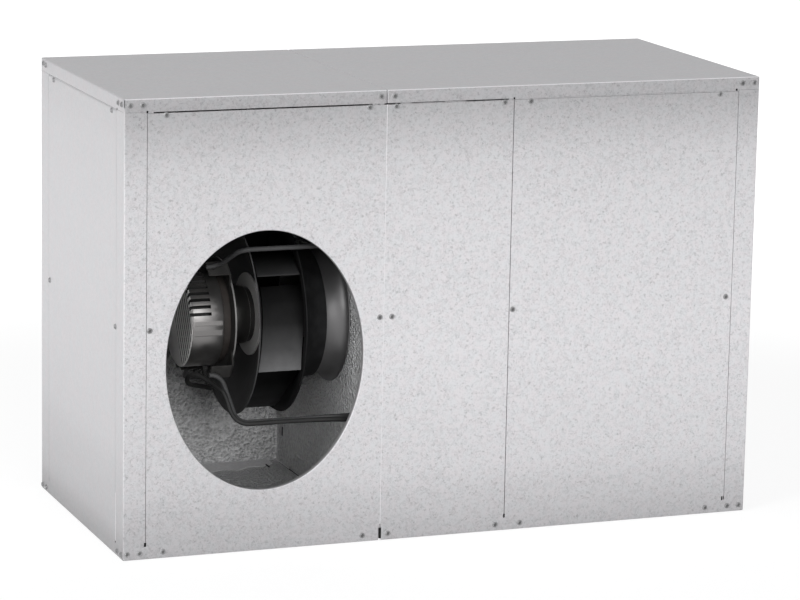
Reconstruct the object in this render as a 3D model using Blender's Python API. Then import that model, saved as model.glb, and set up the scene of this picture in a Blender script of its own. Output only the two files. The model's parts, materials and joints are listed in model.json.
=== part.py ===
"""Ducted indoor unit: a galvanised cabinet in two modules with a plug fan behind an oval air outlet.

Metres, +Z up, +X to the right along the front, +Y to the back. The front faces -Y, the base rests on
the floor, and the origin is the middle of the footprint. The fan shaft lies along X.
"""

from math import acos, cos, exp, log, pi, radians, sin, tan

import bmesh
import bpy
from mathutils import Matrix, Vector

# Driving dimensions of the cabinet
WIDTH = 1.120
DEPTH = 0.500
HEIGHT = 0.760
LEFT = -WIDTH / 2
RIGHT = WIDTH / 2
FRONT = -DEPTH / 2
BACK = DEPTH / 2

# Sheet metal
SHEET = 0.0015
FOLD = 0.014
JOINT_GAP = 0.0012
POST_GAP = 0.0008
COVER_GAP = 0.0020
SEAT_GAP = 0.0003
COVER_FLANGE = 0.022
BASE_FLANGE = 0.022
POST_FACE = 0.038
FRONT_POST_SIDE = 0.042
REAR_POST_SIDE = 0.048
BASE_SLOT = 0.0034
RETURN_DEPTH = 0.012
RETURN_START = 0.0295
NOTCH_WIDTH = 0.0011
NOTCH_HEIGHT = 0.0062
FOOT_LOW = 0.006
FOOT_HIGH = 0.0262
FOOT_BRIDGE = 0.0030
FOOT_SETBACK = 0.004

# The walls stand between the base's flange and the covers' flanges
WALL_TOP = HEIGHT - COVER_FLANGE - COVER_GAP
POST_TOP = HEIGHT - COVER_FLANGE - SEAT_GAP
WALL_BOTTOM = BASE_FLANGE + SEAT_GAP

# Where the modules and the front panels part
MODULE_SEAM = LEFT + 0.4466
MIDDLE_SEAM = LEFT + 0.6705

# Insulation inside the fan module
LINING = 0.025
LINING_LEFT = LEFT + SHEET + LINING
LINING_RIGHT = LEFT + 0.425
LINING_BACK = BACK - SHEET - LINING
LINING_FLOOR = SHEET + LINING
LINING_ROOF = POST_TOP + SEAT_GAP
PARTITION_X = LEFT + 0.4408
PARTITION_HOLE = 0.118

# Air outlet in the left access panel
OUTLET_X = LEFT + 0.242
OUTLET_Z = 0.320
OUTLET_HALF_WIDTH = 0.1695
OUTLET_HALF_HEIGHT = 0.2163
OUTLET_COLLAR = 0.008
OUTLET_POINTS = 96

# Fan: the shaft lies along X
SHAFT_Y = -0.028
SHAFT_Z = 0.3515
ROUND_STEPS = 64
RUNNING_CLEARANCE = 0.0055
WHEEL_RADIUS = 0.168
BACK_PLATE_X = LEFT + 0.2499
BACK_PLATE_THICK = 0.0022
DISH_DEPTH = 0.0365
DISH_RADIUS = 0.072
SHROUD_RIM_X = BACK_PLATE_X + 0.0825
SHROUD_COLLAR_X = SHROUD_RIM_X + 0.0546
SHROUD_COLLAR_RADIUS = 0.1115
SHROUD_COLLAR_STRAIGHT = 0.012
SHROUD_THICK = 0.0020
BLADE_COUNT = 6
BLADE_THICK = 0.0020
BLADE_INNER = 0.088
BLADE_OUTER = 0.160
BLADE_ANGLE = radians(27)
BLADE_FIRST = radians(34.5)
BLADE_STEPS = 12

# Inlet ring on the partition
RING_THROAT_RADIUS = SHROUD_COLLAR_RADIUS - SHROUD_THICK - RUNNING_CLEARANCE
RING_NECK_RADIUS = 0.1085
RING_FLARE_RADIUS = 0.117
RING_FLARE_DEPTH = 0.009
RING_THICK = 0.0018
RING_LIP = 0.005
RING_OVERLAP = 0.0136

# Motor
SUPPORT_X = BACK_PLATE_X - 0.0200
MOTOR_LEFT_X = SUPPORT_X - 0.0695
MOTOR_RADIUS = 0.083
MOTOR_BODY_END_X = SUPPORT_X - 0.0130
MOTOR_NECK_RADIUS = 0.077
MOTOR_ROUNDING = 0.003
FIN_COUNT = 43
FIN_REACH = radians(80)
END_GROOVE = 0.0026
END_GROOVE_DEPTH = 0.0020
END_GROOVE_PITCH = 0.0115
END_GROOVE_COUNT = 5
END_GROOVE_LEAN = radians(-18)
END_COVER_RADIUS = 0.0665
BAND_DEPTH = 0.0008
BAND_START = 0.0050
BAND_LENGTH = 0.0480
BANDS = ((radians(86.5), 0.0070), (radians(98.0), 0.0100))
FIN_SLOT = 0.0055
FIN_DEPTH = 0.014
FIN_LENGTH = 0.034
SUPPORT_THICK = 0.0030
SUPPORT_RADIUS = 0.100
STRAP_RADIUS = 0.1205
STRAP_SETBACK = 0.0067
ARM_INNER = 0.0880
STRAP_WIDTH = 0.028
STRAP_LENGTH = 0.0370
STRAP_SLOT_REACH = 0.034
STRAP_SLOT_LENGTH = 0.0070
STRAP_SLOT_WIDTH = 0.0025
SHAFT_RADIUS = 0.009
SHAFT_END_X = SUPPORT_X - 0.0280
SHAFT_CLEARANCE = 0.0004
ROTOR_RADIUS = 0.049
ROTOR_GAP = 0.0080
HUB_NECK_RADIUS = 0.038
HUB_DISC_RADIUS = 0.070
HUB_DISC_THICK = 0.0030

# Four support rods, at 90 degrees, from the motor straps over the wheel to the partition
ROD_RADIUS = 0.004
ROD_REACH = 0.2085
ROD_BEND = 0.022
ROD_FOOT = 0.020
ROD_START_X = SUPPORT_X - 0.0460
ROD_RISE = 0.017
ROD_LEAN = radians(9.3)
ROD_ANGLES = (radians(38), radians(128), radians(218), radians(308))

# Fan lead
LEAD_RADIUS = 0.0040
LEAD_START_X = LEFT + 0.207
LEAD_START_ANGLE = radians(176)
GLAND_RADIUS = 0.0070
GLAND_LENGTH = 0.008
WALL_GLAND = Vector((LINING_RIGHT - SEAT_GAP - GLAND_LENGTH, -0.1850, 0.1960))


def clear_scene():
    for thing in list(bpy.data.objects):
        bpy.data.objects.remove(thing, do_unlink=True)


def material(name, colour, roughness, metallic):
    made = bpy.data.materials.new(name)
    made.use_nodes = True
    shader = made.node_tree.nodes["Principled BSDF"]
    shader.inputs["Base Color"].default_value = (*colour, 1.0)
    shader.inputs["Roughness"].default_value = roughness
    shader.inputs["Metallic"].default_value = metallic
    made.diffuse_color = (*colour, 1.0)
    return made


def add_object(name, shape, finish, smooth=False):
    """Turns a bmesh into a named object in the scene."""
    bmesh.ops.recalc_face_normals(shape, faces=shape.faces)
    mesh = bpy.data.meshes.new(name)
    shape.to_mesh(mesh)
    shape.free()
    thing = bpy.data.objects.new(name, mesh)
    bpy.context.scene.collection.objects.link(thing)
    thing.data.materials.append(finish)
    if smooth:
        mesh.shade_smooth()
        mesh.set_sharp_from_angle(angle=radians(35))
    return thing


def box_shape(low, high):
    """A bmesh box between two corners."""
    low, high = Vector(low), Vector(high)
    shape = bmesh.new()
    bmesh.ops.create_cube(shape, size=1.0)
    bmesh.ops.scale(shape, vec=high - low, verts=shape.verts)
    bmesh.ops.translate(shape, vec=(low + high) / 2, verts=shape.verts)
    return shape


def slab(name, low, high, finish):
    return add_object(name, box_shape(low, high), finish)


def prism(outline, depth):
    """A bmesh solid: a flat outline of points swept by a vector."""
    shape = bmesh.new()
    face = shape.faces.new([shape.verts.new(point) for point in outline])
    grown = bmesh.ops.extrude_face_region(shape, geom=[face])
    moved = [item for item in grown["geom"] if isinstance(item, bmesh.types.BMVert)]
    bmesh.ops.translate(shape, vec=depth, verts=moved)
    return shape


def tray(name, low, high, open_side, finish):
    """A folded sheet: a box without the face towards open_side, given the sheet's thickness inwards."""
    shape = box_shape(low, high)
    side = Vector(open_side)
    open_face = max(shape.faces, key=lambda face: face.normal.dot(side))
    bmesh.ops.delete(shape, geom=[open_face], context="FACES_ONLY")
    thing = add_object(name, shape, finish)
    fold = thing.modifiers.new("sheet", "SOLIDIFY")
    fold.thickness = SHEET
    fold.offset = -1.0
    fold.use_even_offset = True
    return thing


def cutter(name, shape):
    """A helper that cuts other pieces and is left out of the render."""
    thing = add_object(name, shape, GALVANISED)
    thing.hide_render = True
    thing.display_type = "WIRE"
    return thing


def boolean(thing, other, operation, name):
    step = thing.modifiers.new(name, "BOOLEAN")
    step.operation = operation
    step.solver = "EXACT"
    step.object = other
    return step


def turned(name, profile, finish, steps=ROUND_STEPS):
    """Revolves a closed profile of (x, radius) points round the fan shaft."""
    shape = bmesh.new()
    ring = [shape.verts.new((x, 0.0, radius)) for x, radius in profile]
    pairs = zip(ring, ring[1:] + ring[:1])
    edges = [
        shape.edges.new(pair)
        for pair in pairs
        if pair[0].co.z > 0 or pair[1].co.z > 0
    ]
    bmesh.ops.spin(
        shape,
        geom=ring + edges,
        cent=(0, 0, 0),
        axis=(1, 0, 0),
        angle=2 * pi,
        steps=steps,
        use_merge=True,
        use_duplicate=False,
    )
    bmesh.ops.remove_doubles(shape, verts=shape.verts, dist=1e-6)
    bmesh.ops.translate(shape, vec=(0, SHAFT_Y, SHAFT_Z), verts=shape.verts)
    return add_object(name, shape, finish, smooth=True)


def on_shaft(x, radius, from_top):
    """A point at this radius round the shaft, with the angle measured from the top towards the front."""
    return Vector((x, SHAFT_Y - radius * sin(from_top), SHAFT_Z + radius * cos(from_top)))


def tube(name, points, radius, finish, sides=3):
    """A round bar or lead along a polyline."""
    curve = bpy.data.curves.new(name, "CURVE")
    curve.dimensions = "3D"
    curve.bevel_depth = radius
    curve.bevel_resolution = sides
    curve.use_fill_caps = True
    spline = curve.splines.new("POLY")
    spline.points.add(len(points) - 1)
    for place, point in zip(spline.points, points):
        place.co = (*point, 1.0)
    thing = bpy.data.objects.new(name, curve)
    bpy.context.scene.collection.objects.link(thing)
    curve.materials.append(finish)
    return thing


def rounded_route(corners, bend, steps=6):
    """The corners of a route joined by arcs of the given bend radius."""
    points = [Vector(corners[0])]
    for before, corner, after in zip(corners, corners[1:], corners[2:]):
        corner = Vector(corner)
        back = (Vector(before) - corner).normalized()
        ahead = (Vector(after) - corner).normalized()
        half = acos(max(-1.0, min(1.0, back.dot(ahead)))) / 2
        reach = bend / tan(half)
        middle = corner + (back + ahead).normalized() * bend / sin(half)
        start = corner + back * reach - middle
        normal = start.cross(corner + ahead * reach - middle).normalized()
        sweep = pi - 2 * half
        for step in range(steps + 1):
            points.append(middle + Matrix.Rotation(sweep * step / steps, 3, normal) @ start)
    points.append(Vector(corners[-1]))
    return points


def oval_shape(half_width, half_height, y_low, y_high):
    """An upright oval bar through the front panel."""
    shape = bmesh.new()
    bmesh.ops.create_cone(
        shape,
        cap_ends=True,
        segments=OUTLET_POINTS,
        radius1=1.0,
        radius2=1.0,
        depth=1.0,
    )
    bmesh.ops.rotate(shape, matrix=Matrix.Rotation(pi / 2, 3, "X"), verts=shape.verts)
    bmesh.ops.scale(shape, vec=(half_width, y_high - y_low, half_height), verts=shape.verts)
    bmesh.ops.translate(shape, vec=(OUTLET_X, (y_low + y_high) / 2, OUTLET_Z), verts=shape.verts)
    return shape


def base_and_covers():
    for name, x_low, x_high in (
        ("fan_base_tray", LEFT, MODULE_SEAM - BASE_SLOT / 2),
        ("coil_base_tray", MODULE_SEAM + BASE_SLOT / 2, RIGHT),
    ):
        tray(name, (x_low, FRONT, 0.0), (x_high, BACK, BASE_FLANGE), (0, 0, 1), GALVANISED)
    for name, x_low, x_high in (
        ("fan_top_cover", LEFT, MODULE_SEAM - JOINT_GAP / 2),
        ("coil_top_cover", MODULE_SEAM + JOINT_GAP / 2, RIGHT),
    ):
        low = (x_low, FRONT, HEIGHT - COVER_FLANGE)
        tray(name, low, (x_high, BACK, HEIGHT), (0, 0, -1), TOP_SHEET)


def corner_posts():
    """Four folded corner posts, each with one leg on the front or back and one on the end."""
    for name, x, to_x, y, to_y, side in (
        ("left_front_post", LEFT, 1, FRONT, 1, FRONT_POST_SIDE),
        ("right_front_post", RIGHT, -1, FRONT, 1, FRONT_POST_SIDE),
        ("left_rear_post", LEFT, 1, BACK, -1, REAR_POST_SIDE),
        ("right_rear_post", RIGHT, -1, BACK, -1, REAR_POST_SIDE),
    ):
        profile = (
            (x, y),
            (x + to_x * POST_FACE, y),
            (x + to_x * POST_FACE, y + to_y * SHEET),
            (x + to_x * SHEET, y + to_y * SHEET),
            (x + to_x * SHEET, y + to_y * side),
            (x, y + to_y * side),
        )
        outline = [(*point, WALL_BOTTOM) for point in profile]
        add_object(name, prism(outline, Vector((0, 0, POST_TOP - WALL_BOTTOM))), GALVANISED)


def wall_panel(name, start, end, inward, finish, folded=True):
    """A screwed panel as a folded sheet, between two floor points on its outer face.

    It stands on the base flange, notched at both lower corners, with a foot stepped in behind the
    flange. Above that each side is turned inward, unless the panel is lined.
    """
    start, end, inward = Vector(start), Vector(end), Vector(inward)
    along = (end - start).normalized()
    length = (end - start).length
    up = Vector((0, 0, 1))
    half = [
        (NOTCH_WIDTH, WALL_BOTTOM),
        (NOTCH_WIDTH, WALL_BOTTOM + NOTCH_HEIGHT),
        (0.0, WALL_BOTTOM + NOTCH_HEIGHT),
        (0.0, WALL_TOP),
    ]
    other = [(length - place, height) for place, height in half]
    outline = [start + along * place + up * height for place, height in half + other[::-1]]
    panel = add_object(name, prism(outline, inward * SHEET), finish)
    behind = SHEET + SEAT_GAP
    foot = [
        (SHEET / 2, FOOT_HIGH - FOOT_BRIDGE),
        (behind, FOOT_HIGH - FOOT_BRIDGE),
        (behind, FOOT_LOW),
        (behind + SHEET, FOOT_LOW),
        (behind + SHEET, FOOT_HIGH),
        (SHEET / 2, FOOT_HIGH),
    ]
    corner = start + along * FOOT_SETBACK
    profile = [corner + inward * depth + up * height for depth, height in foot]
    folds = prism(profile, along * (length - 2 * FOOT_SETBACK))
    for place in (0.0, length - SHEET) if folded else ():
        low = start + along * place + inward * (SHEET / 2) + up * RETURN_START
        high = low + along * SHEET + inward * RETURN_DEPTH + up * (WALL_TOP - FOLD - RETURN_START)
        low, high = (Vector(pick(a, b) for a, b in zip(low, high)) for pick in (min, max))
        bar = bmesh.ops.create_cube(folds, size=1.0)["verts"]
        bmesh.ops.scale(folds, vec=high - low, verts=bar)
        bmesh.ops.translate(folds, vec=(low + high) / 2, verts=bar)
    boolean(panel, cutter(name + "_folds", folds), "UNION", "folds")
    return panel


def end_and_back_panels():
    low_y, high_y = FRONT + FRONT_POST_SIDE + POST_GAP, BACK - REAR_POST_SIDE - POST_GAP
    wall_panel(
        "left_end_panel", (LEFT, low_y, 0), (LEFT, high_y, 0), (1, 0, 0), END_SHEET, folded=False
    )
    wall_panel("right_end_panel", (RIGHT, low_y, 0), (RIGHT, high_y, 0), (-1, 0, 0), END_SHEET)
    low_x, high_x = LEFT + POST_FACE + POST_GAP, RIGHT - POST_FACE - POST_GAP
    seam = SEAT_GAP / 2
    into = (0, -1, 0)
    fan_end, coil_start = (MODULE_SEAM - seam, BACK, 0), (MODULE_SEAM + seam, BACK, 0)
    wall_panel("fan_back_panel", (low_x, BACK, 0), fan_end, into, GALVANISED, folded=False)
    wall_panel("coil_back_panel", coil_start, (high_x, BACK, 0), into, GALVANISED)


def front_panels():
    low_x, high_x = LEFT + POST_FACE + POST_GAP, RIGHT - POST_FACE - POST_GAP
    seam = SEAT_GAP / 2
    into = (0, 1, 0)
    fan_end, coil_start = (MODULE_SEAM - seam, FRONT, 0), (MODULE_SEAM + seam, FRONT, 0)
    middle_end = (MIDDLE_SEAM - JOINT_GAP / 2, FRONT, 0)
    right_start = (MIDDLE_SEAM + JOINT_GAP / 2, FRONT, 0)
    panel = wall_panel("left_access_panel", (low_x, FRONT, 0), fan_end, into, GALVANISED)
    wall_panel("middle_panel", coil_start, middle_end, into, GALVANISED)
    wall_panel("right_access_panel", right_start, (high_x, FRONT, 0), into, GALVANISED)
    collar = cutter(
        "outlet_collar_bar",
        oval_shape(
            OUTLET_HALF_WIDTH + SHEET,
            OUTLET_HALF_HEIGHT + SHEET,
            FRONT + SHEET / 2,
            FRONT + OUTLET_COLLAR,
        ),
    )
    hole = cutter(
        "outlet_hole_bar",
        oval_shape(OUTLET_HALF_WIDTH, OUTLET_HALF_HEIGHT, FRONT - FOLD, FRONT + 2 * FOLD),
    )
    boolean(panel, collar, "UNION", "collar")
    boolean(panel, hole, "DIFFERENCE", "outlet")


def disc_cutter(name, x_low, x_high, radius):
    """A round bar along the shaft that cuts a hole."""
    profile = [(x_low, 0.0), (x_low, radius), (x_high, radius), (x_high, 0.0)]
    thing = turned(name, profile, GALVANISED)
    thing.hide_render = True
    thing.display_type = "WIRE"
    return thing


def linings():
    """Insulation slabs on the inside of the fan module."""
    edge = SHEET + SEAT_GAP
    inside = 2 * edge
    right = LINING_RIGHT - SEAT_GAP
    above_floor = LINING_FLOOR + SEAT_GAP
    roof = LINING_ROOF - SEAT_GAP
    for name, low, high in (
        (
            "floor_lining",
            (LEFT + inside, FRONT + inside, edge),
            (right, BACK - inside, LINING_FLOOR),
        ),
        (
            "left_lining",
            (LEFT + edge, FRONT + edge, above_floor),
            (LINING_LEFT, LINING_BACK - SEAT_GAP, roof),
        ),
        ("back_lining", (LEFT + edge, LINING_BACK, above_floor), (right, BACK - edge, roof)),
        (
            "roof_lining",
            (LEFT + edge, FRONT + edge, LINING_ROOF),
            (MODULE_SEAM - JOINT_GAP / 2 - edge, BACK - edge, HEIGHT - edge),
        ),
    ):
        slab(name, low, high, LINING_FOAM)


def partition():
    """The wall between the modules, with the hole that the inlet ring sits on."""
    edge = SHEET + SEAT_GAP
    low_y, high_y = FRONT + 2 * edge, BACK - 2 * edge
    top = LINING_ROOF - SEAT_GAP
    hole = disc_cutter("partition_hole_bar", LINING_RIGHT - LINING, PARTITION_X + LINING, PARTITION_HOLE)
    for name, x_low, x_high, finish in (
        ("partition_lining", LINING_RIGHT, PARTITION_X - SEAT_GAP, LINING_FOAM),
        ("partition_panel", PARTITION_X, PARTITION_X + SHEET, GALVANISED),
    ):
        wall = slab(name, (x_low, low_y, edge), (x_high, high_y, top), finish)
        boolean(wall, hole, "DIFFERENCE", "ring hole")


def shell_profile(points, thick):
    """A closed profile that follows a line of (x, radius) points, half the thickness to each side."""
    line = [Vector(point) for point in points]
    left, right = [], []
    for index, point in enumerate(line):
        before = line[max(index - 1, 0)]
        after = line[min(index + 1, len(line) - 1)]
        along = (after - before).normalized()
        across = Vector((-along.y, along.x)) * thick / 2
        left.append(tuple(point + across))
        right.append(tuple(point - across))
    return left + right[::-1]


def quarter(start, end, steps, first_along_x):
    """Points of a quarter ellipse between two (x, radius) points."""
    points = []
    for step in range(steps + 1):
        turn = pi / 2 * step / steps
        slow, fast = 1 - cos(turn), sin(turn)
        share_x, share_r = (fast, slow) if first_along_x else (slow, fast)
        x = start[0] + (end[0] - start[0]) * share_x
        points.append((x, start[1] + (end[1] - start[1]) * share_r))
    return points


def inlet_ring():
    """A straight throat inside the wheel's collar that opens as a bell onto the partition."""
    throat = RING_THROAT_RADIUS - RING_THICK / 2
    lip_x = LINING_RIGHT - SEAT_GAP - RING_THICK / 2
    neck = (lip_x - RING_FLARE_DEPTH, RING_NECK_RADIUS)
    line = [(SHROUD_COLLAR_X - RING_OVERLAP, throat), (SHROUD_COLLAR_X, throat)]
    line += quarter(neck, (lip_x, RING_FLARE_RADIUS), 6, True)
    line.append((lip_x, RING_FLARE_RADIUS + RING_LIP))
    turned("inlet_ring", shell_profile(line, RING_THICK), RING_METAL)


def shroud_line():
    collar = SHROUD_COLLAR_RADIUS - SHROUD_THICK / 2
    bend_end = SHROUD_COLLAR_X - SHROUD_COLLAR_STRAIGHT
    line = quarter((SHROUD_RIM_X, WHEEL_RADIUS), (bend_end, collar), 8, False)
    return line + [(SHROUD_COLLAR_X, collar)]


def wheel():
    """The moving parts: hub, back plate, shroud and blades, all carried by one empty on the shaft."""
    carrier = bpy.data.objects.new("wheel_axis", None)
    carrier.location = (BACK_PLATE_X, SHAFT_Y, SHAFT_Z)
    bpy.context.scene.collection.objects.link(carrier)
    hub_left = SUPPORT_X + SUPPORT_THICK + RUNNING_CLEARANCE
    dish_x = BACK_PLATE_X + DISH_DEPTH
    disc_right = dish_x - BACK_PLATE_THICK / 2 - SEAT_GAP
    disc_left = disc_right - HUB_DISC_THICK
    hub_profile = [
        (SHAFT_END_X, 0.0),
        (SHAFT_END_X, SHAFT_RADIUS),
        (hub_left, SHAFT_RADIUS),
        (hub_left, ROTOR_RADIUS - SHEET),
        (hub_left + SHEET, ROTOR_RADIUS),
        (disc_left - ROTOR_GAP, ROTOR_RADIUS),
        (disc_left - ROTOR_GAP, HUB_NECK_RADIUS),
        (disc_left, HUB_NECK_RADIUS),
        (disc_left, HUB_DISC_RADIUS),
        (disc_right, HUB_DISC_RADIUS),
        (disc_right, 0.0),
    ]
    plate_line = [(dish_x, 0.0), (dish_x, DISH_RADIUS), (BACK_PLATE_X, WHEEL_RADIUS)]
    plate_profile = shell_profile(plate_line, BACK_PLATE_THICK)
    made = [
        turned("wheel_hub", hub_profile, FAN_BLACK),
        turned("wheel_back_plate", plate_profile, FAN_BLACK),
        turned("wheel_shroud", shell_profile(shroud_line(), SHROUD_THICK), FAN_BLACK),
    ]
    made += [blade(index) for index in range(BLADE_COUNT)]
    bpy.context.view_layer.update()
    for thing in made:
        thing.parent = carrier
        thing.matrix_parent_inverse = carrier.matrix_world.inverted()


def blade_start(radius):
    """Where a blade begins at this radius, just off the dished back plate."""
    share = min(1.0, (WHEEL_RADIUS - radius) / (WHEEL_RADIUS - DISH_RADIUS))
    return BACK_PLATE_X + DISH_DEPTH * share + BACK_PLATE_THICK + SEAT_GAP


def blade_reach(radius):
    """How far along the shaft a blade may stand at this radius, just inside the shroud."""
    limit = SHROUD_COLLAR_X - RING_OVERLAP - RUNNING_CLEARANCE
    collar = SHROUD_COLLAR_RADIUS - SHROUD_THICK / 2
    share = min(1.0, (WHEEL_RADIUS - radius - SHROUD_THICK) / (WHEEL_RADIUS - collar))
    depth = SHROUD_COLLAR_X - SHROUD_COLLAR_STRAIGHT - SHROUD_RIM_X
    shroud_x = SHROUD_RIM_X + depth * (1 - (1 - share**2) ** 0.5)
    return min(limit, shroud_x - SHROUD_THICK - SEAT_GAP)


def blade(index):
    """One backward-curved blade: a log spiral from the inner edge to the outer edge, extruded along X."""
    outer_angle = BLADE_FIRST - index * 2 * pi / BLADE_COUNT
    growth = tan(BLADE_ANGLE)
    wrap = log(BLADE_OUTER / BLADE_INNER) / growth
    shape = bmesh.new()
    rows = []
    for step in range(BLADE_STEPS + 1):
        turn = wrap * step / BLADE_STEPS
        radius = BLADE_OUTER * exp(-growth * turn)
        angle = pi / 2 - (outer_angle + turn)
        rows.append(
            (
                shape.verts.new(on_shaft(blade_start(radius), radius, angle)),
                shape.verts.new(on_shaft(blade_reach(radius), radius, angle)),
            )
        )
    for (low_a, high_a), (low_b, high_b) in zip(rows, rows[1:]):
        shape.faces.new((low_a, high_a, high_b, low_b))
    thing = add_object(f"wheel_blade_{index + 1}", shape, FAN_BLACK, smooth=True)
    sheet = thing.modifiers.new("sheet", "SOLIDIFY")
    sheet.thickness = BLADE_THICK
    sheet.offset = 0.0
    return thing


def radial_bars(name, angles, x_low, x_high, r_low, r_high, width):
    """Bars that stand round the shaft, for cutting fins."""
    shape = bmesh.new()
    for angle in angles:
        bar = bmesh.ops.create_cube(shape, size=1.0)["verts"]
        bmesh.ops.scale(shape, vec=(x_high - x_low, width, r_high - r_low), verts=bar)
        bmesh.ops.translate(shape, vec=((x_low + x_high) / 2, 0, (r_low + r_high) / 2), verts=bar)
        bmesh.ops.rotate(shape, matrix=Matrix.Rotation(angle, 3, "X"), verts=bar)
        bmesh.ops.translate(shape, vec=(0, SHAFT_Y, SHAFT_Z), verts=bar)
    return cutter(name, shape)


def motor():
    neck_right = SUPPORT_X - SEAT_GAP
    bore = SHAFT_RADIUS + SHAFT_CLEARANCE
    bore_end = SHAFT_END_X - RUNNING_CLEARANCE
    housing = turned(
        "motor_housing",
        [
            (MOTOR_LEFT_X, 0.0),
            (MOTOR_LEFT_X, MOTOR_RADIUS - MOTOR_ROUNDING),
            (MOTOR_LEFT_X + MOTOR_ROUNDING, MOTOR_RADIUS),
            (MOTOR_BODY_END_X - MOTOR_ROUNDING, MOTOR_RADIUS),
            (MOTOR_BODY_END_X, MOTOR_RADIUS - MOTOR_ROUNDING),
            (MOTOR_BODY_END_X, MOTOR_NECK_RADIUS),
            (neck_right, MOTOR_NECK_RADIUS),
            (neck_right, bore),
            (bore_end, bore),
            (bore_end, 0.0),
        ],
        CAST_METAL,
    )
    pitch = 2 * pi / FIN_COUNT
    upper = [index * pitch for index in range(FIN_COUNT) if cos(index * pitch) > cos(FIN_REACH)]
    before = MOTOR_LEFT_X - FIN_SLOT
    beyond = MOTOR_RADIUS + FIN_SLOT
    comb_bars = radial_bars(
        "comb_slot_bars",
        upper,
        before,
        MOTOR_LEFT_X + FIN_LENGTH,
        MOTOR_RADIUS - FIN_DEPTH,
        beyond,
        FIN_SLOT,
    )
    boolean(housing, comb_bars, "DIFFERENCE", "comb slots")
    grooves = bmesh.new()
    for index in range(END_GROOVE_COUNT):
        offset = (index - (END_GROOVE_COUNT - 1) / 2) * END_GROOVE_PITCH
        reach = (END_COVER_RADIUS**2 - offset**2) ** 0.5
        bar = bmesh.ops.create_cube(grooves, size=1.0)["verts"]
        bmesh.ops.scale(grooves, vec=(2 * END_GROOVE_DEPTH, END_GROOVE, 2 * reach), verts=bar)
        bmesh.ops.translate(grooves, vec=(MOTOR_LEFT_X, offset, 0), verts=bar)
    bmesh.ops.rotate(grooves, matrix=Matrix.Rotation(END_GROOVE_LEAN, 3, "X"), verts=grooves.verts)
    bmesh.ops.translate(grooves, vec=(0, SHAFT_Y, SHAFT_Z), verts=grooves.verts)
    boolean(housing, cutter("end_groove_bars", grooves), "DIFFERENCE", "end grooves")
    for index, (angle, width) in enumerate(BANDS):
        band = radial_bars(
            f"band_bar_{index + 1}",
            [angle],
            MOTOR_LEFT_X + BAND_START,
            MOTOR_LEFT_X + BAND_START + BAND_LENGTH,
            MOTOR_RADIUS * cos(width / 2 / MOTOR_RADIUS) - BAND_DEPTH,
            beyond,
            width,
        )
        boolean(housing, band, "DIFFERENCE", f"band {index + 1}")


def support_plate():
    """A round plate with four arms that lean back to straps over the motor, each carrying a rod."""
    half = SUPPORT_THICK / 2
    middle_x = SUPPORT_X + half
    strap_right = middle_x - STRAP_SETBACK
    strap_middle = STRAP_RADIUS + half
    hole = SHAFT_RADIUS + 2 * RUNNING_CLEARANCE
    front_side = [(SUPPORT_X, hole), (SUPPORT_X, SUPPORT_RADIUS)]
    back_side = [(x + SUPPORT_THICK, radius) for x, radius in reversed(front_side)]
    plate = turned("motor_support_plate", front_side + back_side, CAST_METAL)
    line = [(middle_x, ARM_INNER), (strap_right, strap_middle), (strap_right - STRAP_LENGTH, strap_middle)]
    side = shell_profile(line, SUPPORT_THICK)
    arms = bmesh.new()
    for angle in ROD_ANGLES:
        outline = [arms.verts.new((x, -STRAP_WIDTH / 2, radius)) for x, radius in side]
        grown = bmesh.ops.extrude_face_region(arms, geom=[arms.faces.new(outline)])
        moved = [item for item in grown["geom"] if isinstance(item, bmesh.types.BMVert)]
        bmesh.ops.translate(arms, vec=(0, STRAP_WIDTH, 0), verts=moved)
        arm = outline + moved
        bmesh.ops.rotate(arms, matrix=Matrix.Rotation(angle, 3, "X"), verts=arm)
        bmesh.ops.translate(arms, vec=(0, SHAFT_Y, SHAFT_Z), verts=arm)
    slots = radial_bars(
        "strap_slot_bars",
        ROD_ANGLES,
        SUPPORT_X - STRAP_SLOT_REACH,
        SUPPORT_X - STRAP_SLOT_REACH + STRAP_SLOT_WIDTH,
        STRAP_RADIUS - SUPPORT_THICK,
        STRAP_RADIUS + 2 * SUPPORT_THICK,
        STRAP_SLOT_LENGTH,
    )
    boolean(plate, cutter("arm_bars", arms), "UNION", "arms")
    boolean(plate, slots, "DIFFERENCE", "strap slots")


def support_rods():
    start = STRAP_RADIUS + SUPPORT_THICK + SEAT_GAP + ROD_RADIUS
    for index, angle in enumerate(ROD_ANGLES):
        rise_x = ROD_START_X + ROD_FOOT
        corners = (
            on_shaft(ROD_START_X, start, angle),
            on_shaft(rise_x, start, angle),
            on_shaft(rise_x + ROD_RISE, ROD_REACH, angle + ROD_LEAN),
            on_shaft(LINING_RIGHT - SEAT_GAP, ROD_REACH, angle + ROD_LEAN),
        )
        tube(f"support_rod_{index + 1}", rounded_route(corners, ROD_BEND), ROD_RADIUS, FAN_BLACK)


def smooth_route(points, spacing):
    """A Catmull-Rom curve through the points, with a point about every spacing."""
    line = [Vector(point) for point in points]
    line = [2 * line[0] - line[1]] + line + [2 * line[-1] - line[-2]]
    route = [line[1]]
    for a, b, c, d in zip(line, line[1:], line[2:], line[3:]):
        steps = max(1, round((c - b).length / spacing))
        for step in range(1, steps + 1):
            t = step / steps
            route.append(
                0.5 * (2 * b + (c - a) * t + (2 * a - 5 * b + 4 * c - d) * t**2
                       + (3 * b - a - 3 * c + d) * t**3)
            )
    return route


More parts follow.
